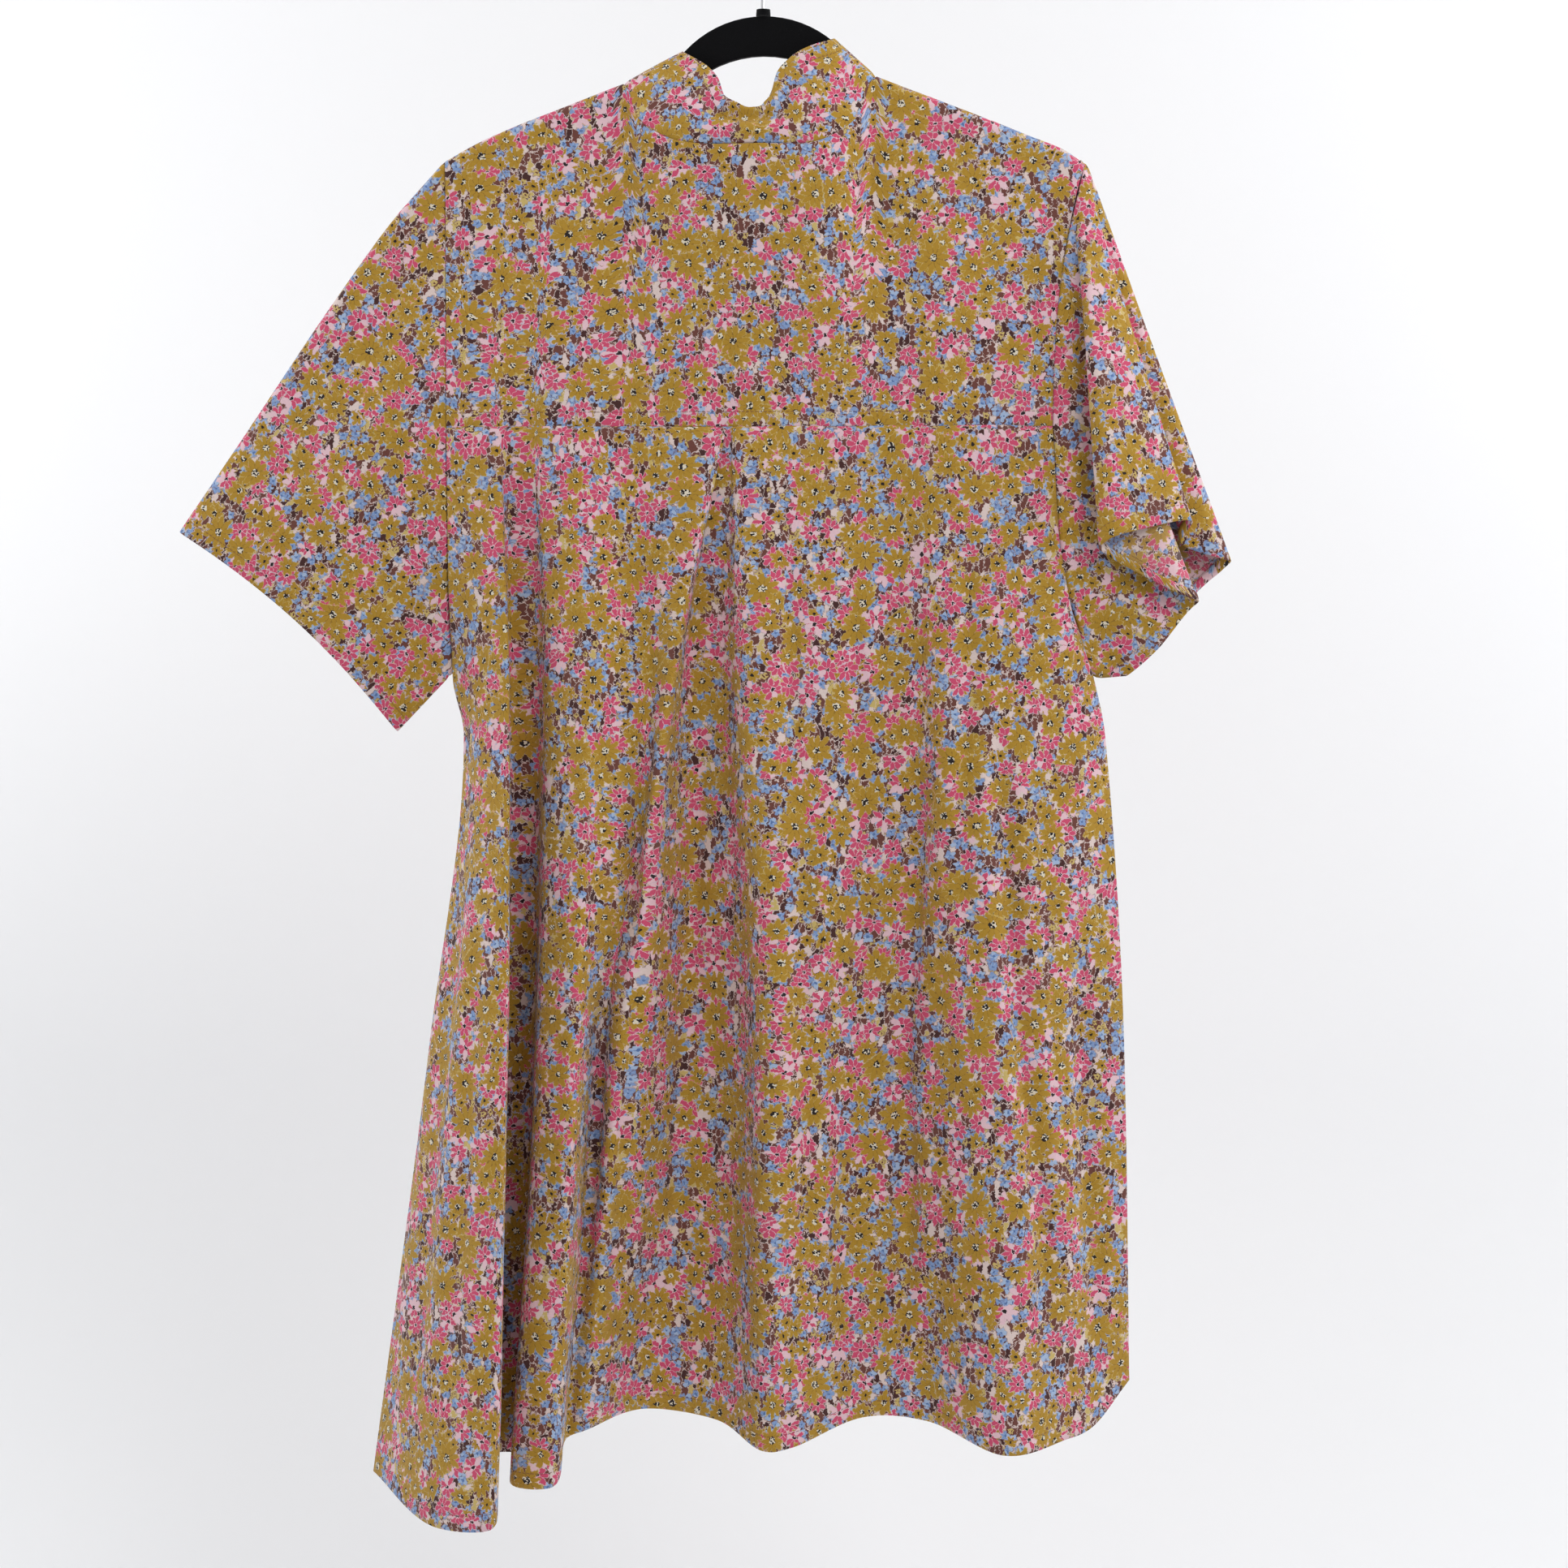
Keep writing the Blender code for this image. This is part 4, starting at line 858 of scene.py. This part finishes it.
leftSleeve = {
    "rows": 110, "columns": 220, "hemDepth": 0.0110, "hemHollow": 0.0098, "inward": (0.68, 0.0, 0.73),
    "top": [(0.0, -0.2023, 0.0, -0.1716), (0.16, -0.2319, 0.0, -0.2040), (0.42, -0.2774, 0.0, -0.2643),
            (0.68, -0.3207, 0.0, -0.3258), (1.0, -0.3761, 0.0, -0.4052)],
    "lowerEnd": (-0.2358, 0.0, -0.5327),
    "creases": [
        Crease("crownSlack", -0.208, -0.200, -0.262, -0.330, 0.012, -0.0016),
        Crease("middleFold", -0.222, -0.280, -0.296, -0.440, 0.016, 0.0018),
        Crease("middleFoldShade", -0.212, -0.320, -0.270, -0.450, 0.011, -0.0014),
        Crease("underarmPull", -0.205, -0.440, -0.246, -0.490, 0.009, -0.0020),
        Crease("underarmPullUp", -0.204, -0.400, -0.236, -0.470, 0.007, 0.0012),
        Crease("hemRipple", -0.300, -0.380, -0.326, -0.440, 0.012, 0.0014),
    ],
}


def leftSleevePoints():
    top = edgeCurve(leftSleeve["top"])
    topStart, topEnd, lowerEnd = top(0.0), top(1.0), np.array(leftSleeve["lowerEnd"])
    alongs = np.concatenate([[0.0, 0.003, 0.007], evenly(0.012, 1.0, leftSleeve["rows"])])[:, None]
    bow = top(alongs[:, 0]) - (topStart + (topEnd - topStart) * alongs)
    columns = []
    for around in evenly(0.5, 1.5, leftSleeve["columns"]) % 1:      # from the underarm seam
        angle = 2 * math.pi * around
        share = (1 - math.cos(angle)) / 2
        start = sleeveStart("left", share if around <= 0.5 else 2 - share)
        hem = topEnd + (lowerEnd - topEnd) * share
        hem = hem + np.array(leftSleeve["inward"]) * leftSleeve["hemHollow"] * 4 * share * (1 - share)
        bend = math.sin(angle)
        hem[1] = -leftSleeve["hemDepth"] * math.copysign(abs(bend) ** 0.8, bend)
        columns.append(start + (hem - start) * alongs + bow * (1 - share) ** 2)
    return np.stack(columns, axis=1)


leftPiece = makeCloth("sleeve_left_cloth", leftSleevePoints(), "tube", leftSleeve["creases"], seams=("top",),
                      hem={"rows": 3, "gap": cloth["hemGap"]}, closed=True, tuck=1.0, seed=31.0,
                      waves=(0.045, 0.0009), shift=(0.577, 0.683))
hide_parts("sleeve_left")

# The right sleeve, fallen in a Z-shaped fold

SleeveFold = namedtuple("SleeveFold", "name place arm x y z")
rightSleeve = {
    "rows": 110, "columns": 260, "swell": 2.5,
    "folds": [
        SleeveFold("topEdge", 0.000, 0.000, 0.2949, 0.0080, -0.4240),
        SleeveFold("topBack", 0.025, 0.006, 0.2900, 0.0045, -0.4225),
        SleeveFold("tuckedValley", 0.090, 0.015, 0.2640, 0.0010, -0.4130),
        SleeveFold("flapEnd", 0.150, 0.030, 0.2690, -0.0100, -0.3990),
        SleeveFold("flapMiddle", 0.220, 0.050, 0.2400, -0.0240, -0.4035),
        SleeveFold("flapNear", 0.275, 0.070, 0.2160, -0.0300, -0.4110),
        SleeveFold("flapFold", 0.300, 0.085, 0.2112, -0.0255, -0.4160),
        SleeveFold("flapFar", 0.325, 0.100, 0.2160, -0.0205, -0.4200),
        SleeveFold("innerNear", 0.430, 0.140, 0.2680, -0.0145, -0.4470),
        SleeveFold("innerFold", 0.455, 0.175, 0.2735, -0.0095, -0.4490),
        SleeveFold("innerFar", 0.480, 0.215, 0.2690, -0.0040, -0.4540),
        SleeveFold("lowerBack", 0.560, 0.600, 0.2500, -0.0060, -0.4780),
        SleeveFold("lowerEdge", 0.660, 1.000, 0.2290, 0.0010, -0.4965),
        SleeveFold("lowerFront", 0.760, 1.400, 0.2500, 0.0110, -0.4700),
        SleeveFold("upperFront", 0.900, 1.780, 0.2790, 0.0170, -0.4390),
        SleeveFold("topFront", 0.975, 1.985, 0.2915, 0.0125, -0.4280),
    ],
}


def rightSleevePoints():
    folds = rightSleeve["folds"]
    places = [fold.place for fold in folds]
    hem = [(fold.x, fold.y, fold.z) for fold in folds]
    armShare = fairCurve(places + [1.0], [(fold.arm,) for fold in folds] + [(2.0,)], monotone=True)
    wrapped = [places[-2] - 1, places[-1] - 1] + places + [1.0, 1 + places[1], 1 + places[2]]
    hemRing = fairCurve(wrapped, hem[-2:] + hem + hem[:3])
    alongs = np.concatenate([[0.0, 0.003, 0.007], evenly(0.012, 1.0, rightSleeve["rows"])])
    fall = np.stack([alongs, 1 - (1 - alongs) ** rightSleeve["swell"], alongs], axis=1)
    columns = []
    for around in evenly(0.66, 1.66, rightSleeve["columns"]) % 1:   # from the underarm seam
        start = sleeveStart("right", float(armShare(around)[0]))
        columns.append(start + (hemRing(around) - start) * fall)
    return np.stack(columns, axis=1)


rightPiece = makeCloth("sleeve_right_cloth", rightSleevePoints(), "tube", (), seams=("top",),
                       hem={"rows": 3, "gap": cloth["hemGap"]}, closed=True, tuck=1.0, seed=41.0,
                       waves=(0.05, 0.0005), shift=(0.871, 0.353))
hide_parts("sleeve_right")
print("cloth hung")


# The hanger keeps its solids and gets its finishes

flockLook = {"color": linear(13, 13, 15), "pile": 2600.0, "bump": 0.00022}
wireLook = {"color": linear(226, 226, 229), "roughness": 0.34}


def makeFlock():
    material = bpy.data.materials.new("blackFlock")
    material.use_nodes = True
    nodes = Nodes(material.node_tree)
    surface = material.node_tree.nodes["Principled BSDF"]
    surface.inputs["Sheen Weight"].default_value = 0.12
    surface.inputs["Sheen Roughness"].default_value = 0.45
    surface.inputs["Specular IOR Level"].default_value = 0.1
    place = nodes.add("ShaderNodeTexCoord").outputs["Object"]
    pile = nodes.add("ShaderNodeTexNoise")
    pile.inputs["Scale"].default_value = flockLook["pile"]
    pile.inputs["Detail"].default_value = 2.0
    nodes.join(pile.inputs["Vector"], place)
    rubbed = nodes.add("ShaderNodeTexNoise")
    rubbed.inputs["Scale"].default_value = 60.0
    nodes.join(rubbed.inputs["Vector"], place)
    shade = nodes.math("MULTIPLY_ADD", pile.outputs["Fac"], 1.1, nodes.math("MULTIPLY_ADD", rubbed.outputs["Fac"], 0.5, 0.2))
    nodes.join(surface.inputs["Base Color"], nodes.mix(1.0, flockLook["color"], shade, kind="MULTIPLY"))
    nodes.join(surface.inputs["Roughness"], nodes.math("MULTIPLY_ADD", rubbed.outputs["Fac"], 0.1, 0.88))
    bump = nodes.add("ShaderNodeBump")
    bump.inputs["Distance"].default_value = flockLook["bump"]
    nodes.join(bump.inputs["Height"], pile.outputs["Fac"])
    nodes.join(surface.inputs["Normal"], bump.outputs[0])
    return material


def makeWire():
    material = bpy.data.materials.new("platedWire")
    material.use_nodes = True
    nodes = Nodes(material.node_tree)
    surface = material.node_tree.nodes["Principled BSDF"]
    surface.inputs["Metallic"].default_value = 1.0
    place = nodes.add("ShaderNodeTexCoord").outputs["Object"]
    drawn = nodes.add("ShaderNodeTexNoise")
    drawn.inputs["Scale"].default_value = 420.0
    drawn.inputs["Detail"].default_value = 3.0
    nodes.join(drawn.inputs["Vector"], place)
    shade = nodes.math("MULTIPLY_ADD", drawn.outputs["Fac"], 0.16, 0.92)
    nodes.join(surface.inputs["Base Color"], nodes.mix(1.0, wireLook["color"], shade, kind="MULTIPLY"))
    nodes.join(surface.inputs["Roughness"], nodes.math("MULTIPLY_ADD", drawn.outputs["Fac"], 0.14, wireLook["roughness"] - 0.07))
    return material


flock, wire = makeFlock(), makeWire()
for label, finish in (("hanger_body", flock), ("hanger_ferrule", flock), ("hanger_hook", wire)):
    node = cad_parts[label]
    node.data.materials.clear()
    node.data.materials.append(finish)
print("hanger finished")


# Studio

studio = {
    "floor": -1.34, "wall": 0.85, "cove": 0.45, "width": 3.4, "front": -2.6, "height": 2.2,
    "paper": linear(244, 245, 247), "world": 0.31,
    "lights": [("key", (1.3, -1.9, 1.0), 1.1, 19.5), ("fill", (-1.4, -2.3, 0.2), 1.6, 4.5),
               ("top", (0.1, -0.5, 1.4), 1.0, 9.0), ("paperLeft", (-1.4, 0.0, 0.0), 0.9, 8.5),
               ("paperRight", (1.4, 0.0, 0.0), 0.9, 8.5)],
}


def makeSweep():
    profile = [(studio["front"], studio["floor"]), (studio["wall"] - studio["cove"], studio["floor"])]
    for k in range(1, 13):
        angle = math.pi / 2 * k / 12
        profile.append((studio["wall"] - studio["cove"] + studio["cove"] * math.sin(angle),
                        studio["floor"] + studio["cove"] * (1 - math.cos(angle))))
    profile.append((studio["wall"], studio["height"]))
    sweep = bmesh.new()
    line = [sweep.verts.new((-studio["width"], y, z)) for y, z in profile]
    edges = [sweep.edges.new(pair) for pair in zip(line, line[1:])]
    grown = bmesh.ops.extrude_edge_only(sweep, edges=edges)["geom"]
    bmesh.ops.translate(sweep, vec=(2 * studio["width"], 0, 0), verts=[g for g in grown if isinstance(g, bmesh.types.BMVert)])
    sweep.normal_update()
    turnedAway = [face for face in sweep.faces if face.normal.y > 0.001 or face.normal.z < -0.001]
    bmesh.ops.reverse_faces(sweep, faces=turnedAway)
    mesh = bpy.data.meshes.new("paperSweep")
    sweep.to_mesh(mesh)
    sweep.free()
    mesh.shade_smooth()
    paper = bpy.data.materials.new("palePaper")
    paper.use_nodes = True
    paper.node_tree.nodes["Principled BSDF"].inputs["Base Color"].default_value = studio["paper"]
    paper.node_tree.nodes["Principled BSDF"].inputs["Roughness"].default_value = 0.95
    nodes = Nodes(paper.node_tree)             # clear from behind, for looks at the dress's front
    front = nodes.math("SUBTRACT", 1.0, nodes.add("ShaderNodeNewGeometry").outputs["Backfacing"])
    nodes.join(paper.node_tree.nodes["Principled BSDF"].inputs["Alpha"], front)
    mesh.materials.append(paper)
    piece = bpy.data.objects.new("paperSweep", mesh)
    scene.collection.objects.link(piece)


makeSweep()
view = {"lens": 72.0, "spot": (0.1522, -1.9905, -0.4300), "aim": (0.0130, 0.0, -0.5660)}
aim = Vector(view["aim"])
for label, spot, size, power in studio["lights"]:
    lamp = bpy.data.lights.new(label, "AREA")
    lamp.energy = power
    lamp.size = size
    thing = bpy.data.objects.new(label, lamp)
    thing.location = spot
    target = aim if "paper" not in label else Vector((0.0, studio["wall"], -0.6))
    thing.rotation_euler = (target - thing.location).to_track_quat("-Z", "Y").to_euler()
    scene.collection.objects.link(thing)
world = bpy.data.worlds.new("studioAir")
world.use_nodes = True
world.node_tree.nodes["Background"].inputs["Color"].default_value = (1.0, 1.0, 1.0, 1.0)
world.node_tree.nodes["Background"].inputs["Strength"].default_value = studio["world"]
scene.world = world

camera = bpy.data.objects.new("camera", bpy.data.cameras.new("camera"))
camera.data.lens = view["lens"]
camera.location = view["spot"]
camera.rotation_euler = (aim - camera.location).to_track_quat("-Z", "Y").to_euler()
scene.collection.objects.link(camera)
scene.camera = camera
print("studio ready")
